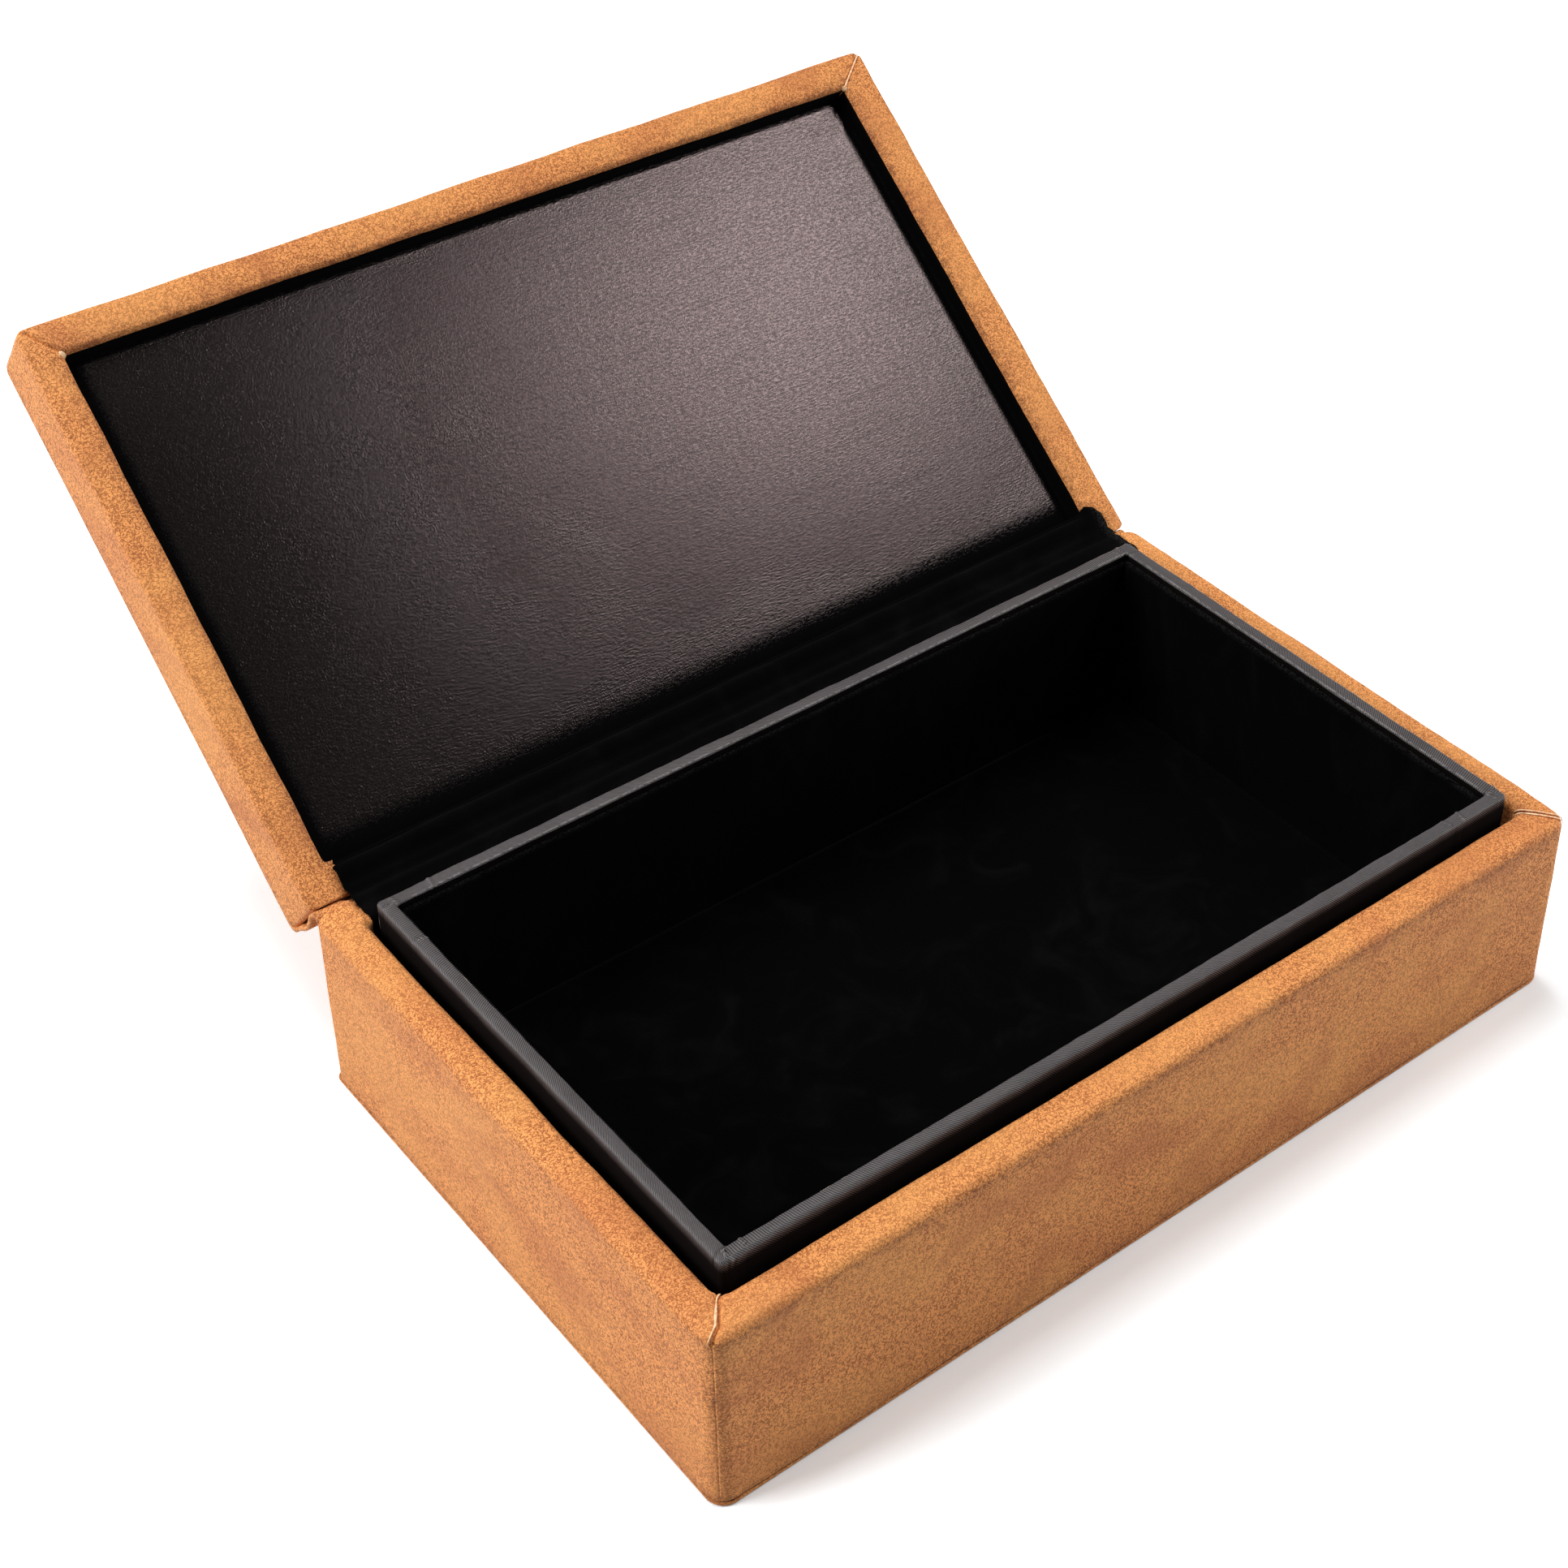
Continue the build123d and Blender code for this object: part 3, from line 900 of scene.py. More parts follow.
def seam_dip(grid: np.ndarray, share: np.ndarray, depth: float, reach: float) -> np.ndarray:
    """Press a side's front ends down, as at a seam.

    Args:
        grid: the side's grid.
        share: how much of the dip each level takes.
        depth: how deep the dip is.
        reach: how far it reaches along the side.
    Returns:
        The pressed grid.
    """
    along = lengths(grid, 1)
    ends = np.minimum(along, along[:, -1:] - along)
    pressed = depth * np.exp(-(ends / reach) ** 2) * share[:, None] * (grid[..., 1] < 0)
    return grid - outward(grid) * pressed[..., None]


def ribbon(name: str, path: np.ndarray, normal: np.ndarray, width: float, height: float,
           finish: Finish, seed: int) -> bpy.types.Object:
    """Make a thin raised ridge along a path, tapered to its ends and uneven in width.

    Args:
        name: the object's name.
        path: the points of the path.
        normal: which way the ridge rises at each point.
        width: how wide it is.
        height: how high it rises.
        finish: what it is made of.
        seed: the seed of its unevenness.
    Returns:
        The ridge as an object.
    """
    sideways = np.cross(np.gradient(path, axis=0), normal)
    sideways /= np.maximum(np.linalg.norm(sideways, axis=-1, keepdims=True), TINY)
    share = np.linspace(0, 1, len(path))
    taper = np.minimum(1, np.minimum(share, 1 - share) * 7 + 0.15)
    uneven = taper * (1 + 0.35 * wave(path, 2.2, seed))
    turns = np.linspace(0, FULL_TURN, 9)[:-1]
    loops = [path + sideways * (math.cos(turn) * width / 2 * uneven)[:, None]
             + normal * (math.sin(turn) * height * taper)[:, None] for turn in turns]
    grid = np.stack(loops, axis=1)
    rows, columns = grid.shape[:2]
    points = np.concatenate([grid.reshape(-1, 3), path[:1], path[-1:]])
    first, last = rows * columns, rows * columns + 1
    faces = tube(rows, columns).tolist()
    for k in range(columns):
        faces.append([first, (k + 1) % columns, k])
    for k in range(first - columns, first):
        faces.append([last, k, k + 1 if k + 1 < first else first - columns])
    volume = sum(np.dot(points[f[0]], np.cross(points[f[1]], points[f[2]])) for f in faces)
    if volume < 0:
        faces = [face[::-1] for face in faces]
    return solid(name, points, faces, finish)


class Shoot(Enum):
    """What stands along a line."""

    BEAD = "bead"
    THREAD = "thread"


@dataclass(frozen=True)
class Sprout:
    """How small shoots stand along a line, in millimetres and radians."""

    shoot: Shoot
    count: int
    length: float
    thickness: float
    lean_low: tuple[float, float, float]
    lean_high: tuple[float, float, float]
    scatter: float
    seed: int


class Growth(Graph):
    """A Geometry Nodes tree that sets shoots along a line and turns them into a mesh."""

    SIZES = {"Count": "NodeSocketInt", "Length": "NodeSocketFloat",
             "Thickness": "NodeSocketFloat", "Scatter": "NodeSocketFloat",
             "Lean low": "NodeSocketVector", "Lean high": "NodeSocketVector",
             "Seed": "NodeSocketInt"}
    SMALLEST, LARGEST = 0.55, 1.25

    def __init__(self, name: str, shoot: Shoot, material: bpy.types.Material) -> None:
        """Build the tree.

        Args:
            name: the tree's name.
            shoot: the kind of shoot it sets.
            material: what the shoots are made of.
        """
        super().__init__(bpy.data.node_groups.new(name, "GeometryNodeTree"))
        face = self.tree.interface
        face.new_socket("Line", in_out="INPUT", socket_type="NodeSocketGeometry")
        for size, kind in self.SIZES.items():
            face.new_socket(size, in_out="INPUT", socket_type=kind)
        face.new_socket("Geometry", in_out="OUTPUT", socket_type="NodeSocketGeometry")
        given = self.node("NodeGroupInput", output="Line")
        seed = given.beside("Seed")
        curve = self.node("GeometryNodeMeshToCurve", {"Mesh": given})
        places = self.node("GeometryNodeCurveToPoints",
                           {"Curve": curve, "Count": given.beside("Count")}, mode="COUNT")
        scatter = given.beside("Scatter")
        off = self.chance((-1, -1, -1), (1, 1, 1), seed + 1)
        off = self.node("ShaderNodeVectorMath", {0: off, 3: scatter}, operation="SCALE")
        places = self.node("GeometryNodeSetPosition", {"Geometry": places, "Offset": off})
        lean = self.chance(given.beside("Lean low"), given.beside("Lean high"), seed)
        size = self.node("FunctionNodeRandomValue",
                         {2: self.SMALLEST, 3: self.LARGEST, 8: seed + 2}, 1,
                         data_type="FLOAT")
        stood = self.node("GeometryNodeInstanceOnPoints", {
            "Points": places, "Instance": self.shape(shoot, given), "Rotation": lean,
            "Scale": size})
        whole = self.node("GeometryNodeRealizeInstances", {"Geometry": stood})
        dressed = self.node("GeometryNodeSetMaterial", {"Geometry": whole,
                                                        "Material": material})
        self.node("NodeGroupOutput", {"Geometry": dressed})

    def chance(self, low: Wire | tuple, high: Wire | tuple, seed: Wire) -> Wire:
        """Return a random vector from low to high for each point."""
        return self.node("FunctionNodeRandomValue", {0: low, 1: high, 8: seed},
                         data_type="FLOAT_VECTOR")

    def shape(self, shoot: Shoot, given: Wire) -> Wire:
        """Shape one shoot.

        Args:
            shoot: a bead, which is flat, or a thread, which is bent.
            given: the tree's inputs.
        Returns:
            The shoot's geometry.
        """
        long, thick = given.beside("Length"), given.beside("Thickness")
        if shoot is Shoot.BEAD:
            bead = self.node("GeometryNodeMeshIcoSphere",
                             {"Radius": long * 0.5, "Subdivisions": 1})
            return self.node("GeometryNodeTransform", {"Geometry": bead,
                                                       "Scale": (1.0, 1.0, 0.6)})
        middle = self.node("ShaderNodeCombineXYZ", {"Z": long * 0.55})
        tip = self.node("ShaderNodeCombineXYZ", {"X": long * 0.4, "Z": long * 0.9})
        stalk = self.node("GeometryNodeCurveQuadraticBezier",
                          {"Resolution": 5, "Start": (0, 0, 0), "Middle": middle, "End": tip})
        ring = self.node("GeometryNodeCurvePrimitiveCircle",
                         {"Resolution": 3, "Radius": thick})
        return self.node("GeometryNodeCurveToMesh",
                         {"Curve": stalk, "Profile Curve": ring, "Fill Caps": True})


def grow(name: str, line: np.ndarray, finish: Finish, sprout: Sprout) -> bpy.types.Object:
    """Make one mesh of shoots along a line.

    Args:
        name: the object's name.
        line: the line's points, in millimetres.
        finish: what the shoots are made of.
        sprout: how many there are, their sizes and how they lean.
    Returns:
        The object, in metres, at the origin.
    """
    mesh = bpy.data.meshes.new(name)
    edges = [(k, k + 1) for k in range(len(line) - 1)]
    mesh.from_pydata((line * MM).tolist(), edges, [])
    grown = linked(name, mesh)
    growth = Growth(f"{name} growth", sprout.shoot, MATERIALS[finish])
    modifier = grown.modifiers.new("growth", "NODES")
    modifier.node_group = growth.tree
    sizes = {"Count": sprout.count, "Length": sprout.length * MM,
             "Thickness": sprout.thickness * MM, "Scatter": sprout.scatter * MM,
             "Lean low": sprout.lean_low, "Lean high": sprout.lean_high, "Seed": sprout.seed}
    for item in growth.tree.interface.items_tree:
        if item.in_out == "INPUT" and item.name in sizes:
            modifier[item.identifier] = sizes[item.name]
    evaluated = grown.evaluated_get(bpy.context.evaluated_depsgraph_get())
    whole = bpy.data.meshes.new_from_object(evaluated)
    grown.modifiers.clear()
    grown.data = whole
    whole.name = name
    return grown


STRIP_ENDS = (-87.6, 91.2)
STRIP_EASE = 0.6
SEAM_SUNK = 0.10


def bedded(grid: np.ndarray, lift: float, front: tuple, rise: tuple) -> np.ndarray:
    """Move a rear rim up or down where the velvet strip lies on it.

    Args:
        grid: the points of a wrap.
        lift: how far the rim moves up.
        front: where along Y the bed begins and where it is fully there.
        rise: the height where the move begins and the one from which it is full.
    Returns:
        The moved grid.
    """
    x, y, z = (grid[..., k] for k in range(3))
    start, end = STRIP_ENDS
    along = step(x, start - STRIP_EASE, start) * (1 - step(x, end, end + STRIP_EASE))
    moved = grid.copy()
    moved[..., 2] += lift * (along * step(y, *front)) * step(z, *rise)
    return moved


def box_of(node: str) -> tuple[Vector, Vector]:
    """Return a node's lowest and highest corners, in millimetres."""
    low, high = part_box(node)
    return low / MM, high / MM


# ---------------------------------------------------------------- sub-assemblies


@dataclass
class Base:
    """The leather-wrapped lower box."""

    roundings: tuple = (1.9, 1.7, 0.7, 2.6)
    inner_rounding: float = 1.3
    corner_radius: float = 3.6
    opening_radius: float = 2.6
    rear_radius: float = 1.0
    turn_in: float = 15.0
    leather: float = 0.9
    spacing: float = 1.3
    unevenness: Unevenness = Unevenness((0.14, 34, 3), (0.05, 9, 4), 0.16)
    bed_depth: float = 0.9
    bed_front: tuple = (50.9, 52.0)
    bed_rise: tuple = (20.0, 37.0)
    dip_depth: float = 0.5
    dip_reach: float = 0.42
    # a darker band under the rim's roll: worn leather and painted shade
    low_band: tuple = (32.0, 36.0)
    roll_band: tuple = (36.0, 36.8)
    roll_band_end: tuple = (37.3, 38.0)
    band_fade: tuple = (-55.5, -52.0)
    # painted shade at the foot, where the walls meet the sole
    foot_shade: tuple = (0.9, 1.4)
    bruise: tuple = (-93.9, -57.6, 25.0)
    seams: tuple = ((Side.FRONT, 0.1, -0.9, 0.34, 21), (Side.RIGHT, -0.42, -0.42, 0.38, 22),
                    (Side.RIGHT, 0.42, 0.42, 0.34, 23))
    seam_rise: float = 0.08
    sole_inset: float = 0.12
    sole_radius: float = 1.6
    sole_steps: int = 40
    sole_profile: tuple = ((0.9, 0.0), (0.2, 0.0), (0.05, 0.12), (0.0, 0.35), (0.0, 0.55),
                           (0.3, 0.75), (0.9, 0.85))

    def wall(self) -> Wall:
        """Take the wall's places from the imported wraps.

        Returns:
            The wall's section.
        """
        low, high = box_of("base_front_wrap")
        left_low, left_high = box_of("base_left_wrap")
        rear_low, rear_high = box_of("base_rear_wrap")
        right_low, right_high = box_of("base_right_wrap")
        widths = (high.y - low.y, right_high.x - right_low.x,
                  rear_high.y - rear_low.y, left_high.x - left_low.x)
        return Wall(left_low.x, right_high.x, low.y, rear_high.y, widths, low.z, high.z,
                    high.z - self.turn_in, self.roundings, self.inner_rounding,
                    self.corner_radius, self.rear_radius, self.opening_radius, square=True,
                    foot_rounding=0.3)

    def darkening_marks(self, grid: np.ndarray) -> np.ndarray:
        """Mark where the leather is darkened.

        A band under the rim's roll, most of all at the front, is worn leather and painted
        shade where the roll turns from the light. The foot is painted shade in its joint with
        the sole, and one bruise at the front left corner is a real mark.

        Args:
            grid: a wrap's points.
        Returns:
            How dark each point is made, from 0 to 1.
        """
        height = grid[..., 2]
        outer = (np.arange(len(grid)) < 0.6 * len(grid))[:, None]
        # a band under the rim's roll, mostly on the front: worn leather and painted shade where the roll turns
        # from the light
        band = 0.3 * step(height, *self.low_band) + 0.65 * step(height, *self.roll_band)
        band *= (1 - step(height, *self.roll_band_end)) * outer
        band *= 1 - 0.8 * step(grid[..., 1], *self.band_fade)
        # painted shade at the foot, in the joint with the sole
        foot = (1 - step(height, *self.foot_shade)) * outer
        bruise = np.exp(-np.sum((grid - np.array(self.bruise)) ** 2, axis=-1) / 0.9)
        return np.clip(band + foot + 1.4 * bruise, 0, 1)

    def build(self) -> list[bpy.types.Object]:
        """Make the four wraps, the seams at the front corners and the sole.

        Returns:
            The pieces.
        """
        wall = self.wall()
        share = wall.rim_share()
        made = [self.sole(wall)]
        for side in Side:
            grid = wall.side(side, self.spacing)
            grid = grid + outward(grid) * self.unevenness.sink(grid)[..., None]
            grid = bedded(seam_dip(grid, share, self.dip_depth, self.dip_reach),
                          -self.bed_depth, self.bed_front, self.bed_rise)
            name = side.name.lower()
            piece = Piece(f"base_{name}_leather", grid, self.leather, Finish.LEATHER,
                          {"burnish": self.darkening_marks(grid)}).make()
            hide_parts(f"base_{name}_wrap")
            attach(piece, "base")
            made.append(piece)
        return made + [self.seam(wall, *seam) for seam in self.seams]

    def seam(self, wall: Wall, side: Side, inner: float, outer: float, width: float,
             seed: int) -> bpy.types.Object:
        """Make a pale cut edge across the rim at the corner where a side begins.

        Args:
            wall: the wrapped wall.
            side: the side that begins at the corner.
            inner: how far along the side the edge is moved at its inner end.
            outer: the same at its outer end.
            width: how wide the edge is.
            seed: the seed of its unevenness.
        Returns:
            The cut edge as an object.
        """
        grid = wall.side(side, self.spacing)
        normal = outward(grid)
        rows = np.flatnonzero(wall.rim_share())
        share = np.linspace(0, 1, len(rows))
        path = grid[rows, 0] - normal[rows, 0] * SEAM_SUNK
        along = grid[rows, 1] - grid[rows, 0]
        along /= np.linalg.norm(along, axis=-1, keepdims=True)
        bend = outer + (inner - outer) * share + 0.05 * np.sin(FULL_TURN * share + 0.6)
        piece = ribbon(f"base_seam_{seed}", path + along * bend[:, None], normal[rows, 0],
                       width, self.seam_rise, Finish.RAW_EDGE, seed)
        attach(piece, "base")
        return piece

    def sole(self, wall: Wall) -> bpy.types.Object:
        """Make the thin leather cover under the base, a little in from the walls.

        Args:
            wall: the wrapped wall.
        Returns:
            The cover as an object.
        """
        low, high = box_of("base_bottom_cover")
        tall = high.z - low.z
        loops = []
        for inset, height in self.sole_profile:
            edge = self.sole_inset + inset
            ring = Ring(wall.left + edge, wall.right - edge, wall.front + edge,
                        high.y - edge, low.z + height * tall, self.corner_radius - edge,
                        self.sole_radius)
            loops.append(np.concatenate([ring.run(side, self.sole_steps)[:-1]
                                         for side in Side]))
        grid = np.stack(loops)
        rows, columns = grid.shape[:2]
        last = (rows - 1) * columns
        faces = tube(rows, columns).tolist()
        faces += [list(range(columns))[::-1], list(range(last, last + columns))]
        # painted shade along the sole's upper edge, in the joint with the walls
        dark = step(grid[..., 2], low.z + 0.55 * tall, low.z + 0.8 * tall)
        made = solid("base_sole", grid.reshape(-1, 3), faces, Finish.LEATHER,
                     marks={"burnish": dark})
        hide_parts("base_bottom_cover")
        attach(made, "base")
        return made


@dataclass
class Lid:
    """The lid's leather-wrapped frame, shaped closed and then opened."""

    roundings: tuple = (1.0, 0.8, 0.5, 1.5)
    inner_rounding: float = 1.4
    corner_radius: float = 2.0
    rear_radius: float = 0.9
    opening_radius: float = 1.0
    widths: tuple = (7.2, 7.9, 6.0, 6.6)
    left: float = -94.4
    right: float = 95.0
    front: float = -58.75
    rear: float = 57.25
    rim: float = 39.3
    cover_low: float = 53.1
    turn_in: float = 48.3
    leather: float = 0.9
    spacing: float = 1.3
    unevenness: Unevenness = Unevenness((0.12, 30, 5), (0.05, 8, 6), 0.14)
    bed_depth: float = 0.6
    bed_front: tuple = (50.4, 51.6)
    bed_rise: tuple = (46.0, 41.0)
    dip_depths: tuple = (0.42, 0.42, 0.25, 0.25)
    dip_reach: float = 0.38
    top_stain: tuple = (52.0, 53.0)
    # painted shade down the recess wall
    recess_shade: tuple = (39.9, 40.7)
    seams: tuple = ((Side.RIGHT, 0.0, 0.34, 31), (Side.RIGHT, 0.82, 1.1, 32),
                    (Side.FRONT, 0.80, 1.2, 33))
    seam_rise: float = 0.10

    def wall(self) -> Wall:
        """Give the frame's section, with its rim down.

        Returns:
            The wall's section.
        """
        return Wall(self.left, self.right, self.front, self.rear, self.widths, self.cover_low,
                    self.rim, self.turn_in, self.roundings, self.inner_rounding,
                    self.corner_radius, self.rear_radius, self.opening_radius,
                    foot_rounding=0.4, square=True, rear_turn=1.5)

    def darkening_marks(self, grid: np.ndarray, wall: Wall) -> np.ndarray:
        """Mark where the leather is darkened: darker under the cover, and painted shade
        over the rim's inner half and roundings and down the recess wall.

        Args:
            grid: a wrap's points.
            wall: the frame's section.
        Returns:
            How dark each point is made, from 0 to 1.
        """
        height = grid[..., 2]
        inner = (np.arange(len(grid)) > 0.55 * len(grid))[:, None]
        # painted shade down the recess wall, and darker under the cover
        stained = step(height, *self.top_stain) + inner * step(height, *self.recess_shade)
        # painted shade over the rim's inner half, its inner rounding and its outer roll
        darkening_mask = np.array([0.5 * step(level.top, 0.5, 1.0) + 0.5 * step(level.inner, 0.05, 0.6)
                           + 0.3 * (0.2 < level.bend < 0.9) for level in wall.section()])
        return np.maximum(np.clip(stained, 0, 1), darkening_mask[:, None])

    def build(self) -> list[bpy.types.Object]:
        """Make the frame's four wraps, the seam and the small tabs in its corners.

        Returns:
            The pieces.
        """
        wall = self.wall()
        share = wall.rim_share()
        made = []
        for side in Side:
            grid = wall.side(side, self.spacing)[:, ::-1]
            grid = grid + outward(grid) * self.unevenness.sink(grid)[..., None]
            grid = bedded(seam_dip(grid, share, self.dip_depths[side.value], self.dip_reach),
                          self.bed_depth, self.bed_front, self.bed_rise)
            name = side.name.lower()
            piece = Piece(f"lid_{name}_leather", opened(grid), self.leather, Finish.LEATHER,
                          {"burnish": self.darkening_marks(grid, wall)}).make()
            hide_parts(f"lid_{name}_wrap")
            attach(piece, "lid")
            made.append(piece)
        return made + [self.seam(wall, *seam) for seam in self.seams]

    def seam(self, wall: Wall, side: Side, start: float, width: float,
             seed: int) -> bpy.types.Object:
        """Make a pale cut edge over part of the corner where a side begins.

        Args:
            wall: the frame's section.
            side: the side that begins at the corner.
            start: the share of the rim past which the edge begins.
            width: how wide the edge is.
            seed: the seed of its unevenness.
        Returns:
            The cut edge as an object.
        """
        grid = wall.side(side, self.spacing)
        normal = -outward(grid)
        rows = np.flatnonzero(wall.rim_share())
        rows = rows[round(start * (len(rows) - 1)):]
        path = opened(grid[rows, 0] - normal[rows, 0] * SEAM_SUNK)
        tip = opened(grid[rows, 0] + normal[rows, 0]) - opened(grid[rows, 0])
        piece = ribbon(f"lid_seam_{seed}", path, tip, width, self.seam_rise,
                       Finish.RAW_EDGE, seed)
        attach(piece, "lid")
        return piece


@dataclass
class Cover:
    """The one leather sheet over the base's back, the hinge and the lid's top."""

    thickness: float = 0.8
    base_back: float = 58.75
    lid_back: float = 58.05
    lid_top: float = 53.9
    lid_front: float = -58.75
    seam_height: float = 0.8
    top_rounding: float = 2.6
    fold_radius: float = 0.7
    slack: float = 1.1
    slack_heights: tuple = (40.2, 51.0)
    lid_low: float = 41.2
    back_ends: tuple = (-93.8, 94.0)
    apex_ends: tuple = (-93.9, 93.9)
    fold_ends: tuple = (-94.0, 93.6)
    lid_ends: tuple = (-94.2, 94.8)
    corner_radius: float = 2.3
    bed_depth: float = 1.0
    bed_left: tuple = (-88.2, -87.4)
    bed_right: tuple = (90.8, 91.6)
    unevenness: Unevenness = Unevenness((0.12, 38, 11), (0.04, 10, 12), 0.14)
    tight: tuple = (2.0, 8.0)
    columns: int = 150

    def fold(self) -> tuple[np.ndarray, np.ndarray]:
        """Shape the bend over the hinge.

        Returns:
            The middle of the bend, and its outer line.
        """
        sine, cosine = math.sin(OPEN_ANGLE), math.cos(OPEN_ANGLE)
        start = opened(np.array([0.0, self.lid_back, self.lid_top]))[1:]
        apex_z = start[1] + (self.base_back - start[0]) / sine * cosine
        middle = np.array([sine, cosine - 1])
        middle /= np.linalg.norm(middle)
        half = (math.pi - OPEN_ANGLE) / 2
        centre = np.array([self.base_back, apex_z]) + middle * self.fold_radius / math.sin(half)
        turns = np.linspace(math.pi, 2 * half, 13)
        bend = centre + self.fold_radius * np.stack([np.cos(turns), np.sin(turns)], axis=-1)
        return centre, bend

    def path(self) -> tuple[np.ndarray, np.ndarray, np.ndarray]:
        """Lay the sheet's outer line up the back and over the lid.

        Returns:
            The line, and where each point's row ends on the left and on the right.
        """
        centre, bend = self.fold()
        base = np.array([(self.base_back, z)
                         for z in np.linspace(self.seam_height, centre[1], 24)])
        heights = np.linspace(self.lid_low, self.lid_top - self.top_rounding, 12)
        low, high = self.slack_heights
        sag = self.slack * np.sin(math.pi * np.clip((heights - low) / (high - low), 0, 1)) ** 2
        lid = list(zip(self.lid_back + sag, heights))
        turn_y, turn_z = self.lid_back - self.top_rounding, self.lid_top - self.top_rounding
        lid += [(turn_y + self.top_rounding * math.cos(turn),
                 turn_z + self.top_rounding * math.sin(turn))
                for turn in np.linspace(0.15, QUARTER, 9)]
        radius = self.corner_radius
        flat = np.linspace(turn_y, self.lid_front + radius, 80)[1:]
        lid += [(y, self.lid_top) for y in flat]
        left, right = ([back] * (len(base) - 1) + [apex] + [fold] * len(bend) + [top] * len(lid)
                       for back, apex, fold, top in zip(self.back_ends, self.apex_ends,
                                                        self.fold_ends, self.lid_ends))
        for turn in np.linspace(0, QUARTER, 7)[1:]:
            lid.append((self.lid_front + radius * (1 - math.sin(turn)), self.lid_top))
            left.append(self.lid_ends[0] + radius * (1 - math.cos(turn)))
            right.append(self.lid_ends[1] - radius * (1 - math.cos(turn)))
        closed = np.array([(0.0, y, z) for y, z in lid])
        flat_points = np.concatenate([base, bend[1:]])
        line = np.concatenate([np.pad(flat_points, ((0, 0), (1, 0))), opened(closed)])
        ends = [np.delete(np.array(end), len(base)) for end in (left, right)]
        return line, ends[0], ends[1]

    def build(self) -> bpy.types.Object:
        """Make the sheet, bent between base and lid.

        Returns:
            The sheet as an object.
        """
        line, left, right = self.path()
        share = np.linspace(0, 1, self.columns)
        grid = np.repeat(line[:, None, :], self.columns, axis=1)
        grid[..., 0] = left[:, None] + (right - left)[:, None] * share
        grid = faced(grid, 5, 1)
        reach = np.linalg.norm(grid[..., 1:] - np.array([AXIS_Y, AXIS_Z]), axis=-1)
        sunk = self.unevenness.sink(grid) * step(reach, *self.tight)
        grid = grid + outward(grid) * sunk[..., None]
        x = grid[..., 0]
        covered = step(x, *self.bed_left) * (1 - step(x, *self.bed_right))
        grid[..., 2] -= self.bed_depth * covered * (1 - step(reach, 2.0, 4.0))
        burnish = 0.7 * (1 - step(reach, 2.0, 7.0)) * step(reach, 0.5, 2.0)
        piece = Piece("cover_sheet", grid, self.thickness, Finish.LEATHER,
                      {"burnish": burnish}).make()
        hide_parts("base_back_cover", "hinge_spine", "lid_top_cover")
        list(hinge_bend())
        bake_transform(piece)
        return piece


BEND_SLOPE = (0.941, 0.338)
BEND_REACH = (-0.1, 1.0)


def hinge_bend() -> tuple[tuple[float, ...], tuple[float, ...]]:
    """Place the bend over the hinge, along the line that halves the open angle.

    Returns:
        Where the bend starts and where it ends, in metres.
    """
    ends = (np.array([AXIS_Y, AXIS_Z]) + np.array(BEND_SLOPE) * reach for reach in BEND_REACH)
    return tuple((0.0, *(end * MM).tolist()) for end in ends)


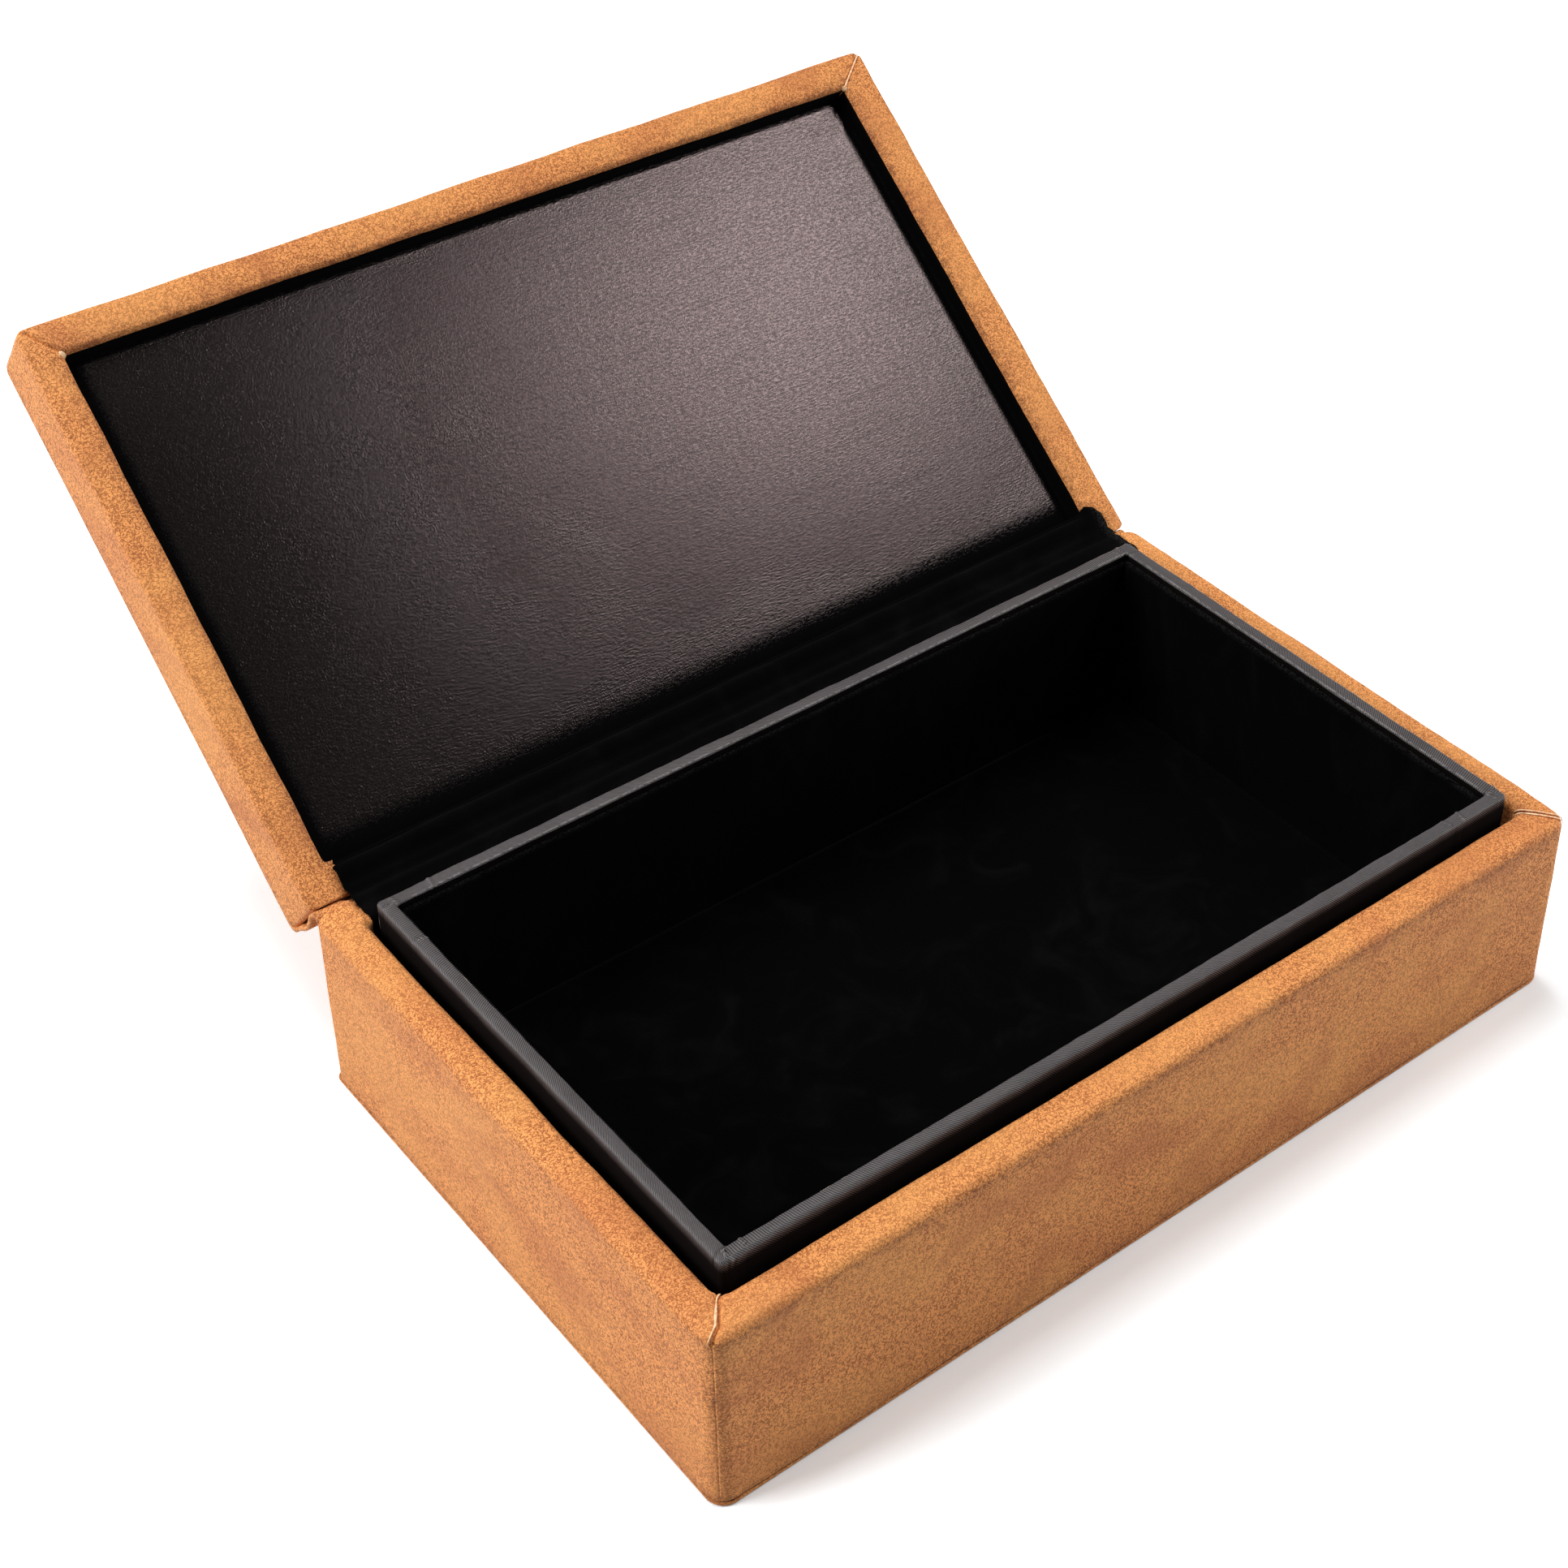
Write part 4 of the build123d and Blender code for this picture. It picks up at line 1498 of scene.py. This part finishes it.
@dataclass
class Liner:
    """The inner box: twill tape over its rim, and velvet inside."""

    corner_radius: float = 1.1
    rounding: float = 0.8
    inner_rounding: float = 0.6
    widths: tuple = (2.85, 3.2, 3.1, 2.85)
    shift: float = 0.3
    tape: float = 0.35
    inner_leg: float = 1.7
    spacing: float = 0.55
    unevenness: Unevenness = Unevenness((0.08, 16, 41), (0.04, 3.5, 42), 0.14)
    crease_height: float = 0.2
    crease_width: float = 0.16
    crease_lean: float = 0.16
    dip_offset: float = 0.4
    dip_width: float = 0.2
    # near the front and the left the painted highlight along the tape's edges is left out
    no_highlight_front: tuple = (44.0, 46.0)
    no_highlight_left: tuple = (80.0, 82.0)
    # painted shade down the lower part of the tape's outer side
    deep: tuple = (40.4, 42.9)
    velvet: float = 0.95
    velvet_step: float = 1.6
    velvet_rows: int = 28
    velvet_sunk: float = 0.12
    mat: float = 0.8
    mat_edge: float = 3.0
    stitch: Sprout = Sprout(Shoot.BEAD, 560, 0.22, 0.0, (0, 0, 0), (0, 0, 6.28), 0.05, 5)
    frays: tuple = (("rear", (12, 82), 46, math.pi, 6), ("right", (-40, 44), 26, QUARTER, 7),
                    ("front", (-80, 60), 30, 0.0, 8))
    creases: dict[Side, tuple[float, ...]] = field(default_factory=lambda: {
        Side.FRONT: (-85.7, -84.4, -82.3, 72.6, 74.9, 84.6),
        Side.RIGHT: (-48.4, -46.6, 46.0),
        Side.REAR: (-84.6, -76.2, 81.2, 83.6, 85.2),
        Side.LEFT: (-48.6, 38.4, 47.6),
    })

    def wall(self) -> Wall:
        """Take the rim tape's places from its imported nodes.

        Returns:
            The rim tape's section.
        """
        low, high = box_of("rim_tape_front")
        left, _ = box_of("rim_tape_left")
        _, rear = box_of("rim_tape_rear")
        _, right = box_of("rim_tape_right")
        return Wall(left.x, right.x + self.shift, low.y, rear.y, self.widths,
                    low.z, high.z, high.z - self.inner_leg, (self.rounding,) * 4,
                    self.inner_rounding, self.corner_radius, self.corner_radius,
                    least_radius=0.45, crown=0.05, foot_rounding=0.2)

    def build(self) -> list[bpy.types.Object]:
        """Make the tapes, the velvet, and the threads that stand out of them.

        Returns:
            The pieces.
        """
        wall = self.wall()
        made = []
        for side in Side:
            grid = wall.side(side, self.spacing)
            fold = self.fold(grid, side)
            raised = self.crease_height * np.maximum(fold, 0) * wall.rim_share()[:, None]
            lift = self.unevenness.sink(grid) + raised
            grid = grid + outward(grid) * lift[..., None]
            name = side.name.lower()
            piece = Piece(f"tape_{name}", grid, self.tape, Finish.TWILL,
                          self.marks(wall, grid, fold)).make()
            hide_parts(f"rim_tape_{name}", f"shield_{name}_wall")
            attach(piece, "base")
            made.append(piece)
        return made + self.walls() + [self.floor()] + self.threads(wall)

    def fold(self, grid: np.ndarray, side: Side) -> np.ndarray:
        """Crease the tape: each crease slants across the rim, with a dip along it.

        Args:
            grid: the tape's points on one side.
            side: the side.
        Returns:
            How much each point is on a crease, up to 1, or in a dip, down to -1.
        """
        axis = 0 if side in (Side.FRONT, Side.REAR) else 1
        across = lengths(grid, 0)
        slant = self.crease_lean * (across - across.mean())
        total = np.zeros(grid.shape[:2])
        for number, place in enumerate(self.creases[side]):
            lean = slant if number % 2 else -slant
            away = grid[..., axis] - place + lean
            dip = np.exp(-((away - self.dip_offset) / self.dip_width) ** 2)
            total += np.exp(-(away / self.crease_width) ** 2) - 0.5 * dip
        return np.clip(total, -1, 1)

    def marks(self, wall: Wall, grid: np.ndarray, fold: np.ndarray) -> dict[str, np.ndarray]:
        """Mark the painted highlights along the tape's rounded edges and creases, and its painted
        shade on the inner leg, down the lower outer side and in the dips beside the creases.

        Args:
            wall: the rim tape's section.
            grid: the tape's points on one side.
            fold: its creases.
        Returns:
            The point attributes.
        """
        levels = wall.section()
        # painted highlights along the inner and outer roundings, left out near the front and left walls
        inner = np.array([0.8 if 0.1 < level.inner < 0.7 else 0.0 for level in levels])
        outer = np.array([0.15 if 0.25 < level.bend < 0.75 else 0.0 for level in levels])
        highlight_cut = step(-grid[..., 1], *self.no_highlight_front) + step(-grid[..., 0], *self.no_highlight_left)
        edges = (inner + outer)[:, None] * (1 - 0.9 * np.clip(highlight_cut, 0, 1))
        # the creases get a painted highlight
        pale = np.clip(edges + 0.8 * fold, 0, 1)
        # painted shade on the inner leg, down the lower outer side and in the dips beside the creases
        leg = np.array([1.0 if level.inner >= 0.99 else 0.0 for level in levels])
        deep = 1 - step(grid[..., 2], *self.deep)
        dark = leg[:, None] + 0.95 * deep - 0.8 * np.minimum(fold, 0)
        return {"selvedge": pale, "burnish": np.clip(dark, 0, 1)}

    def walls(self) -> list[bpy.types.Object]:
        """Make the velvet sheets of the four walls.

        Returns:
            The sheets.
        """
        made = []
        for side in Side:
            name = side.name.lower()
            axis = 1 if side in (Side.FRONT, Side.REAR) else 0
            facing = 1.0 if side in (Side.FRONT, Side.LEFT) else -1.0
            node = f"velvet_{name}_wall"
            low, high = box_of(node)
            length, tall = high[1 - axis] - low[1 - axis], high.z - low.z
            span = np.linspace(0, 1, round(length / self.velvet_step))
            rise = np.linspace(0, 1, self.velvet_rows)
            grid = np.zeros((len(rise), len(span), 3))
            grid[..., 1 - axis] = (low[1 - axis] + span * length)[None, :]
            grid[..., axis] = (high if facing > 0 else low)[axis]
            grid[..., 2] = (low.z + rise * tall)[:, None]
            grid = faced(grid, 3, axis, facing)
            soft = Unevenness((0.10, 22, 51 + side.value), (0.05, 6, 61), self.velvet_sunk)
            grid = grid + outward(grid) * soft.sink(grid)[..., None]
            burnish = step(grid[..., 2], high.z - 0.9, high.z - 0.2) * 0.25
            piece = Piece(f"velvet_{name}", grid, self.velvet, Finish.VELVET,
                          {"burnish": burnish}).make()
            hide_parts(node)
            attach(piece, "base")
            made.append(piece)
        return made

    def floor(self) -> bpy.types.Object:
        """Make the velvet floor, a little lower towards its edges.

        Returns:
            The mat as an object.
        """
        low, high = box_of("velvet_floor_mat")
        grid, border = level_grid(np.linspace(low.x, high.x, 110),
                                  np.linspace(low.y, high.y, 64))
        grid[..., 2] = high.z - 0.1 - 0.5 * (1 - step(border, 0, self.mat_edge))
        grid[..., 2] += np.minimum(0.10 * wave(grid, 26, 71), 0.1)
        piece = Piece("velvet_floor", grid, self.mat, Finish.VELVET).make()
        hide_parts("velvet_floor_mat")
        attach(piece, "base")
        return piece

    def threads(self, wall: Wall) -> list[bpy.types.Object]:
        """Make the tape's edge stitches and the frayed ends under it.

        Args:
            wall: the rim tape's section.
        Returns:
            The pieces.
        """
        inner = wall.rings()[-1]
        front, right, rear, left = (wide - 0.14 for wide in wall.widths)
        ring = Ring(wall.left + left, wall.right - right, wall.front + front,
                    wall.rear - rear, wall.rim - 0.18, 0.5, 0.5)
        loop = np.concatenate([ring.run(Side.RIGHT, 60)[:-1], ring.run(Side.REAR, 90)])
        made = [grow("rim_stitches", loop, Finish.THREAD, self.stitch)]
        hang = inner.height - 0.2
        for name, span, count, facing, seed in self.frays:
            line = np.array([(inner.right, place, hang) if name == "right"
                             else (place, getattr(inner, name), hang) for place in span])
            low, high = (1.9, -0.9, facing - 1.0), (2.9, 0.9, facing + 1.0)
            made.append(grow(f"frayed_{name}_edge", line, Finish.THREAD,
                             Sprout(Shoot.THREAD, count, 1.5, 0.05, low, high, 0.5, seed)))
        for piece in made:
            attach(piece, "base")
        return made


@dataclass
class Panel:
    """The padded panel in the lid, its cover swelled by a short cloth simulation."""

    left: float = -87.85
    right: float = 86.98
    front: float = -51.45
    rear: float = 51.0
    face: float = 43.7
    profile: tuple = ((0.0, 40.5), (0.05, 41.4), (0.1, 42.5), (0.15, 43.3), (0.3, 43.9),
                      (0.6, 44.02), (1.0, 43.96), (1.5, 43.87), (2.1, 43.8), (2.9, 43.75),
                      (4.1, 43.72), (6.2, 43.71))
    pressure: float = 1.2
    reach: float = 0.35
    scale: float = 10.0
    frames: int = 20
    held: float = 1.5
    cloth: float = 0.5
    columns: int = 150
    rows: int = 88
    # how far from each wall the painted shade along the pad's edges fades out
    front_turn: tuple = (0.35, 1.5)
    right_turn: tuple = (0.0, 2.4)
    left_turn: tuple = (1.6, 4.6)
    rear_turn: tuple = (2.2, 7.5)
    wrinkle_start: tuple = (1.5, 3.5)
    wrinkle_end: tuple = (5.0, 13.0)
    wrinkles: tuple = ((28, 0.5, 0.12), (42, 0.45, -0.14), (58, 0.5, 0.16), (72, 0.4, -0.10))

    def spread(self, low: float, high: float, count: int) -> tuple[np.ndarray, np.ndarray]:
        """Space points from one wall to the other, closely at both ends.

        Args:
            low: where the first wall is.
            high: where the second wall is.
            count: how many points the middle has, with both its ends.
        Returns:
            The places, and how many places away the nearer wall is from each.
        """
        insets = np.array([inset for inset, _ in self.profile])
        middle = np.linspace(low + insets[-1], high - insets[-1], count)[1:-1]
        places = np.concatenate([low + insets, middle, (high - insets)[::-1]])
        rank = np.arange(len(places))
        return places, np.minimum(rank, rank[::-1])

    def flat(self) -> tuple[np.ndarray, np.ndarray]:
        """Lay the cover out before it swells.

        It runs up the walls of the recess to the rim, down again into a groove, and over the
        pad.

        Returns:
            The cover's grid, and how far each of its points is from the hem.
        """
        x, x_rank = self.spread(self.left, self.right, self.columns)
        y, y_rank = self.spread(self.front, self.rear, self.rows)
        heights = np.array([height for _, height in self.profile] + [self.face])
        rank = np.minimum(x_rank[None, :], y_rank[:, None])
        grid, edge = level_grid(x, y)
        grid[..., 2] = heights[np.minimum(rank, len(heights) - 1)]
        return grid[:, ::-1].copy(), edge[:, ::-1].copy()

    def swelled(self, grid: np.ndarray, edge: np.ndarray) -> np.ndarray:
        """Swell the cover by a cloth simulation, eased so that no point moves past reach.

        The cloth is simulated at a larger scale, held along its border and pressed out by the
        foam.

        Args:
            grid: the cover's grid.
            edge: how far each of its points is from the hem.
        Returns:
            The swelled grid.
        """
        rows, columns = grid.shape[:2]
        mesh = bpy.data.meshes.new("swelling")
        points = grid.reshape(-1, 3) * MM * self.scale
        index = np.arange(rows * columns).reshape(rows, columns)
        mesh.from_pydata(points.tolist(), [], quads(index).tolist())
        cloth = linked("swelling", mesh)
        held = cloth.vertex_groups.new(name="held")
        held.add(np.flatnonzero(edge.reshape(-1) < self.held).tolist(), 1.0, "REPLACE")
        modifier = cloth.modifiers.new("Cloth", "CLOTH")
        settings = modifier.settings
        settings.quality = 6
        settings.mass = 0.2
        settings.tension_stiffness = settings.compression_stiffness = 18
        settings.bending_stiffness = 2.0
        settings.use_pressure = True
        settings.uniform_pressure_force = self.pressure
        settings.vertex_group_mass = "held"
        settings.shrink_min = 0.006
        settings.effector_weights.gravity = 0
        modifier.point_cache.frame_start = 1
        modifier.point_cache.frame_end = self.frames
        for number in range(1, self.frames + 1):
            bpy.context.scene.frame_set(number)
        evaluated = cloth.evaluated_get(bpy.context.evaluated_depsgraph_get())
        moved = np.empty(rows * columns * 3, np.float32)
        evaluated.data.vertices.foreach_get("co", moved)
        bpy.context.scene.frame_set(1)
        bpy.data.objects.remove(cloth)
        shift = moved.reshape(grid.shape) / (MM * self.scale) - grid
        most = float(np.linalg.norm(shift, axis=-1).max())
        LOG.info("panel: the cover swelled by up to %.2f mm", most)
        return grid + shift * min(1.0, self.reach / max(most, TINY))

    def wrinkled(self, grid: np.ndarray) -> np.ndarray:
        """Press in the short wrinkles that run into the front right corner.

        Args:
            grid: the cover's grid.
        Returns:
            The wrinkled grid.
        """
        across = self.right - grid[..., 0]
        along = grid[..., 1] - self.front
        away = np.hypot(across, along)
        turn = np.degrees(np.arctan2(along, across + 1e-6))
        folds = np.zeros(away.shape)
        for angle, wide, deep in self.wrinkles:
            folds += deep * np.exp(-((turn - angle) * np.radians(1.0) * away / wide) ** 2)
        grid = grid.copy()
        start, end = step(away, *self.wrinkle_start), step(away, *self.wrinkle_end)
        grid[..., 2] += folds * start * (1 - end)
        return grid

    def build(self) -> bpy.types.Object:
        """Make the padded cover, with painted shade along its edges and up the recess walls.

        Returns:
            The cover as an object.
        """
        grid, edge = self.flat()
        grid = self.swelled(grid, edge)
        grid = self.wrinkled(grid)
        # painted shade along the pad's edges, where it rolls into the recess: narrowest at the front and right,
        # widest at the back
        shown = (step(grid[..., 1] - self.front, *self.front_turn)
                 * step(self.right - grid[..., 0], *self.right_turn)
                 * step(grid[..., 0] - self.left, *self.left_turn)
                 * step(self.rear - grid[..., 1], *self.rear_turn))
        piece = Piece("panel_pad", opened(grid), self.cloth, Finish.SATIN,
                      {"burnish": 1 - shown}).make()
        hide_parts("panel_cover", "panel_foam")
        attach(piece, "lid")
        return piece


@dataclass
class VelvetHinge:
    """The velvet strip over the hinge, with a soft fold along each rim."""

    left: float = -87.0
    right: float = 90.8
    thickness: float = 0.6
    columns: int = 170
    base_line: tuple = ((51.1, 27.0), (51.1, 30.0), (51.1, 33.0), (51.15, 36.0), (51.4, 37.7),
                        (52.2, 38.5), (53.4, 38.75), (54.8, 38.8), (56.0, 38.95),
                        (57.0, 39.15), (57.9, 39.05), (58.7, 38.78), (59.4, 38.9))
    lid_line: tuple = ((56.3, 38.75), (55.5, 39.2), (54.6, 39.3), (53.6, 39.2), (52.5, 39.3),
                       (51.7, 39.8), (51.2, 41.0), (51.1, 43.2))
    end_line: tuple = ((56.3, 38.75), (55.5, 39.1), (54.6, 39.12), (53.6, 39.1),
                       (52.6, 39.08), (51.6, 39.06), (50.7, 39.05), (49.8, 39.05))
    rounded: tuple = ((0.0, 0.55), (0.4, 0.70), (1.0, 0.84), (2.4, 0.95), (3.9, 1.0))
    end_start: tuple = (86.3, 87.0)
    ragged: float = 0.2
    ragged_reach: float = 3.0
    frayed_reach: tuple = (0.2, 2.4)

    def line(self, x: float) -> np.ndarray:
        """Draw the strip's path at one place along the hinge.

        Over the end of the lid's rear rim it lies flat on the side's leather, and its corner
        is rounded off.

        Args:
            x: the place along the hinge.
        Returns:
            The points of the path.
        """
        dive, lie = np.array(self.lid_line), np.array(self.end_line)
        short = np.interp(self.right - x, *zip(*self.rounded))
        lie[:, 0] = lie[0, 0] + (lie[:, 0] - lie[0, 0]) * short
        closed = dive + (lie - dive) * step(np.array(x), *self.end_start)
        lid = opened(np.insert(closed, 0, 0.0, axis=1))
        base = np.insert(np.array(self.base_line), 0, 0.0, axis=1)
        return smooth_line(np.concatenate([base, lid]), 90)

    def build(self) -> bpy.types.Object:
        """Make the strip, bent between base and lid.

        Returns:
            The strip as an object.
        """
        places = self.left + (self.right - self.left) * np.linspace(0, 1, self.columns)
        grid = np.stack([self.line(x) for x in places], axis=1)
        ragged = self.ragged * wave(grid, 3.0, 82)
        grid[..., 0] = places
        ends = np.minimum(grid[..., 0] - self.left, self.right - grid[..., 0])
        grid[..., 0] += ragged * (1 - step(ends, 0.0, self.ragged_reach))
        grid = faced(grid, 40, 2)
        grid = grid + outward(grid) * (0.10 * wave(grid, 13, 81) - 0.08)[..., None]
        frayed = 0.6 * (1 - step(self.right - grid[..., 0], *self.frayed_reach))
        piece = Piece("velvet_hinge", grid, self.thickness, Finish.VELVET,
                      {"burnish": frayed}).make()
        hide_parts("velvet_hinge_strip")
        (self.right - self.left) * MM
        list(hinge_bend())
        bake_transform(piece)
        return piece

    def frays(self) -> list[bpy.types.Object]:
        """Make the loose threads at the strip's right end.

        Returns:
            The pieces, one for each body.
        """
        made = []
        lid_line = opened(np.array([(self.right, 56.0, 38.9), (self.right, 53.0, 39.1)]))
        base_line = np.array([(self.right, 53.2, 38.3), (self.right, 57.4, 38.5)])
        for body, line, seed in (("base", base_line, 9), ("lid", lid_line, 10)):
            low, high = (-0.6, 0.9, -0.5), (0.2, 1.7, 0.5)
            piece = grow(f"frayed_{body}_end", line, Finish.VELVET,
                         Sprout(Shoot.THREAD, 16, 0.5, 0.04, low, high, 0.2, seed))
            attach(piece, body)
            made.append(piece)
        return made


def smooth_line(points: np.ndarray, count: int) -> np.ndarray:
    """Draw a smooth curve through points.

    Args:
        points: the points it runs through.
        count: how many points the curve has.
    Returns:
        The curve's points, evenly spaced.
    """
    before, after = 2 * points[:1] - points[1:2], 2 * points[-1:] - points[-2:-1]
    padded = np.concatenate([before, points, after])
    dense = []
    for k in range(len(points) - 1):
        a, b, c, d = padded[k:k + 4]
        for t in np.linspace(0, 1, 12, endpoint=False):
            dense.append(0.5 * (2 * b + (c - a) * t + (2 * a - 5 * b + 4 * c - d) * t ** 2
                                + (3 * b - a - 3 * c + d) * t ** 3))
    dense.append(points[-1])
    dense = np.array(dense)
    along = lengths(dense[:, None, :], 0)[:, 0]
    wanted = np.linspace(0, along[-1], count)
    return np.stack([np.interp(wanted, along, dense[:, k]) for k in range(3)], axis=-1)


# ---------------------------------------------------------------- studio


@dataclass(frozen=True)
class Lamp:
    """A square soft lamp: where it stands, in metres, how wide it is, and its watts."""

    name: str
    place: tuple[float, float, float]
    width: float
    power: float


@dataclass(frozen=True)
class Studio:
    """The camera, the lamps and the pale floor."""

    eye: tuple = (-241.52, -281.77, 367.17)
    azimuth: float = -39.42
    elevation: float = 35.43
    roll: float = 0.761
    focal_pixels: float = 3463.0
    centre_offset: tuple = (164.4, -269.3)
    sensor: float = 36.0
    fill: float = 0.045
    aim: tuple = (0.0, 0.03, 0.03)
    lamps: tuple[Lamp, ...] = (
        Lamp("key", (-0.86, 0.40, 0.62), 0.6, 10.0), Lamp("top", (0.0, 0.35, 1.20), 0.6, 9.0),
        Lamp("gloss", (0.986, -0.461, 1.468), 0.48, 8.6),
        Lamp("front", (0.62, -0.38, 0.20), 0.25, 1.9))
    floor_reach: float = 6.0
    floor_level: float = -0.0002
    floor_gain: float = 1.5
    floor_tint: tuple = (0.96, 1.03, 1.07)

    def camera(self) -> None:
        """Place the camera."""
        turn, rise, roll = (math.radians(v) for v in (self.azimuth, self.elevation, self.roll))
        back = Vector((math.sin(turn) * math.cos(rise), -math.cos(turn) * math.cos(rise),
                       math.sin(rise)))
        right = Vector((math.cos(turn), math.sin(turn), 0))
        up = back.cross(right)
        tilted_right = right * math.cos(roll) + up * math.sin(roll)
        tilted_up = up * math.cos(roll) - right * math.sin(roll)
        data = bpy.data.cameras.new("camera")
        data.sensor_width = self.sensor
        data.lens = self.focal_pixels / IMAGE_SIDE * self.sensor
        data.shift_x = -self.centre_offset[0] / IMAGE_SIDE
        data.shift_y = self.centre_offset[1] / IMAGE_SIDE
        data.clip_start = 0.01
        camera = linked("camera", data)
        turned = Matrix((tilted_right, tilted_up, back)).transposed().to_4x4()
        camera.matrix_world = Matrix.Translation(Vector(self.eye) * MM) @ turned
        bpy.context.scene.camera = camera

    def light(self) -> None:
        """Light the box softly, most from the upper left and back."""
        for lamp in self.lamps:
            data = bpy.data.lights.new(lamp.name, "AREA")
            data.shape = "RECTANGLE"
            data.size = data.size_y = lamp.width
            data.energy = lamp.power
            hung = linked(lamp.name, data)
            hung.location = lamp.place
            aim = Vector(self.aim) - Vector(lamp.place)
            hung.rotation_euler = aim.to_track_quat("-Z", "Y").to_euler()
            hung.visible_camera = False

    def background(self, graph: Graph) -> tuple[Wire, Wire, Wire]:
        """Return which rays are the camera's, glossy ones and those through glass."""
        seen = graph.node("ShaderNodeLightPath", output="Is Camera Ray")
        return seen, seen.beside("Is Glossy Ray"), seen.beside("Is Transmission Ray")

    def world(self) -> None:
        """Fill the shadows, and show white where nothing stands.

        Glossy surfaces mirror the white round the horizon, and a dim ceiling above it.
        """
        world = bpy.data.worlds.new("studio")
        world.use_nodes = True
        world.node_tree.nodes.clear()
        graph = Graph(world.node_tree)
        white = (1.0, 1.0, 1.0, 1.0)
        rise = graph.node("ShaderNodeSeparateXYZ",
                          {0: graph.node("ShaderNodeTexCoord", output="Generated")}, output="Z")
        camera, glossy, through = self.background(graph)
        low = glossy * rise.ramp(0.30, 0.55, 1.0, 0.0)
        shown = (camera + through + low).most(1.0)
        dim = graph.node("ShaderNodeBackground", {"Color": white, "Strength": self.fill})
        bright = graph.node("ShaderNodeBackground", {"Color": white, "Strength": 1.0})
        mixed = graph.node("ShaderNodeMixShader", {0: shown, 1: dim, 2: bright})
        graph.node("ShaderNodeOutputWorld", {"Surface": mixed})
        bpy.context.scene.world = world

    def floor(self) -> None:
        """Lay the floor: white where it is seen or mirrored, but for the box's shadow."""
        mesh = bpy.data.meshes.new("floor")
        reach = self.floor_reach
        mesh.from_pydata([(x * reach, y * reach, self.floor_level)
                          for x, y in ((-1, -1), (1, -1), (1, 1), (-1, 1))],
                         [], [(0, 1, 2, 3)])
        tree = Tree("studio floor")
        speck = tree.noise(tree.place(), 40.0, 2.0)
        paint = tree.mix(speck, (0.60, 0.61, 0.63), (0.62, 0.63, 0.65))
        plain = tree.node("ShaderNodeBsdfDiffuse", {"Color": paint})
        bright = tuple(part * self.floor_gain for part in self.floor_tint)
        lit = tree.node("ShaderNodeBsdfDiffuse", {"Color": opaque(bright)})
        camera, glossy, through = self.background(tree)
        shown = (camera + glossy + through).most(1.0)
        tree.node_to_output(tree.node("ShaderNodeMixShader", {0: shown, 1: plain, 2: lit}))
        floor = linked("studio_floor", mesh)
        mesh.materials.append(tree.material)

    def build(self) -> None:
        """Set up the whole studio."""
        self.camera()
        self.light()
        self.world()
        self.floor()
        bpy.context.scene.view_settings.view_transform = "Standard"


def dress_nodes() -> None:
    """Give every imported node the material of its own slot."""
    finishes = {finish.value: finish for finish in Finish}
    for subpart in frame["record"]["subparts"]:
        mesh = NODES[subpart["node"]].data
        mesh.materials.clear()
        mesh.materials.append(MATERIALS[finishes[subpart["material_slot"]]])


MATERIALS = {finish: recipe.make() for finish, recipe in RECIPES.items()}


def main() -> None:
    """Build the whole scene."""
    logging.basicConfig(level=logging.INFO, format="%(message)s")
    dress_nodes()
    Studio().build()
    pieces = Base().build() + Lid().build() + Liner().build()
    strip = VelvetHinge()
    pieces += [Cover().build(), Panel().build(), strip.build(), *strip.frays()]
    for piece in pieces:
        LOG.info("%s: %d faces", piece.name, len(piece.data.polygons))


if __name__ == "__main__":
    main()
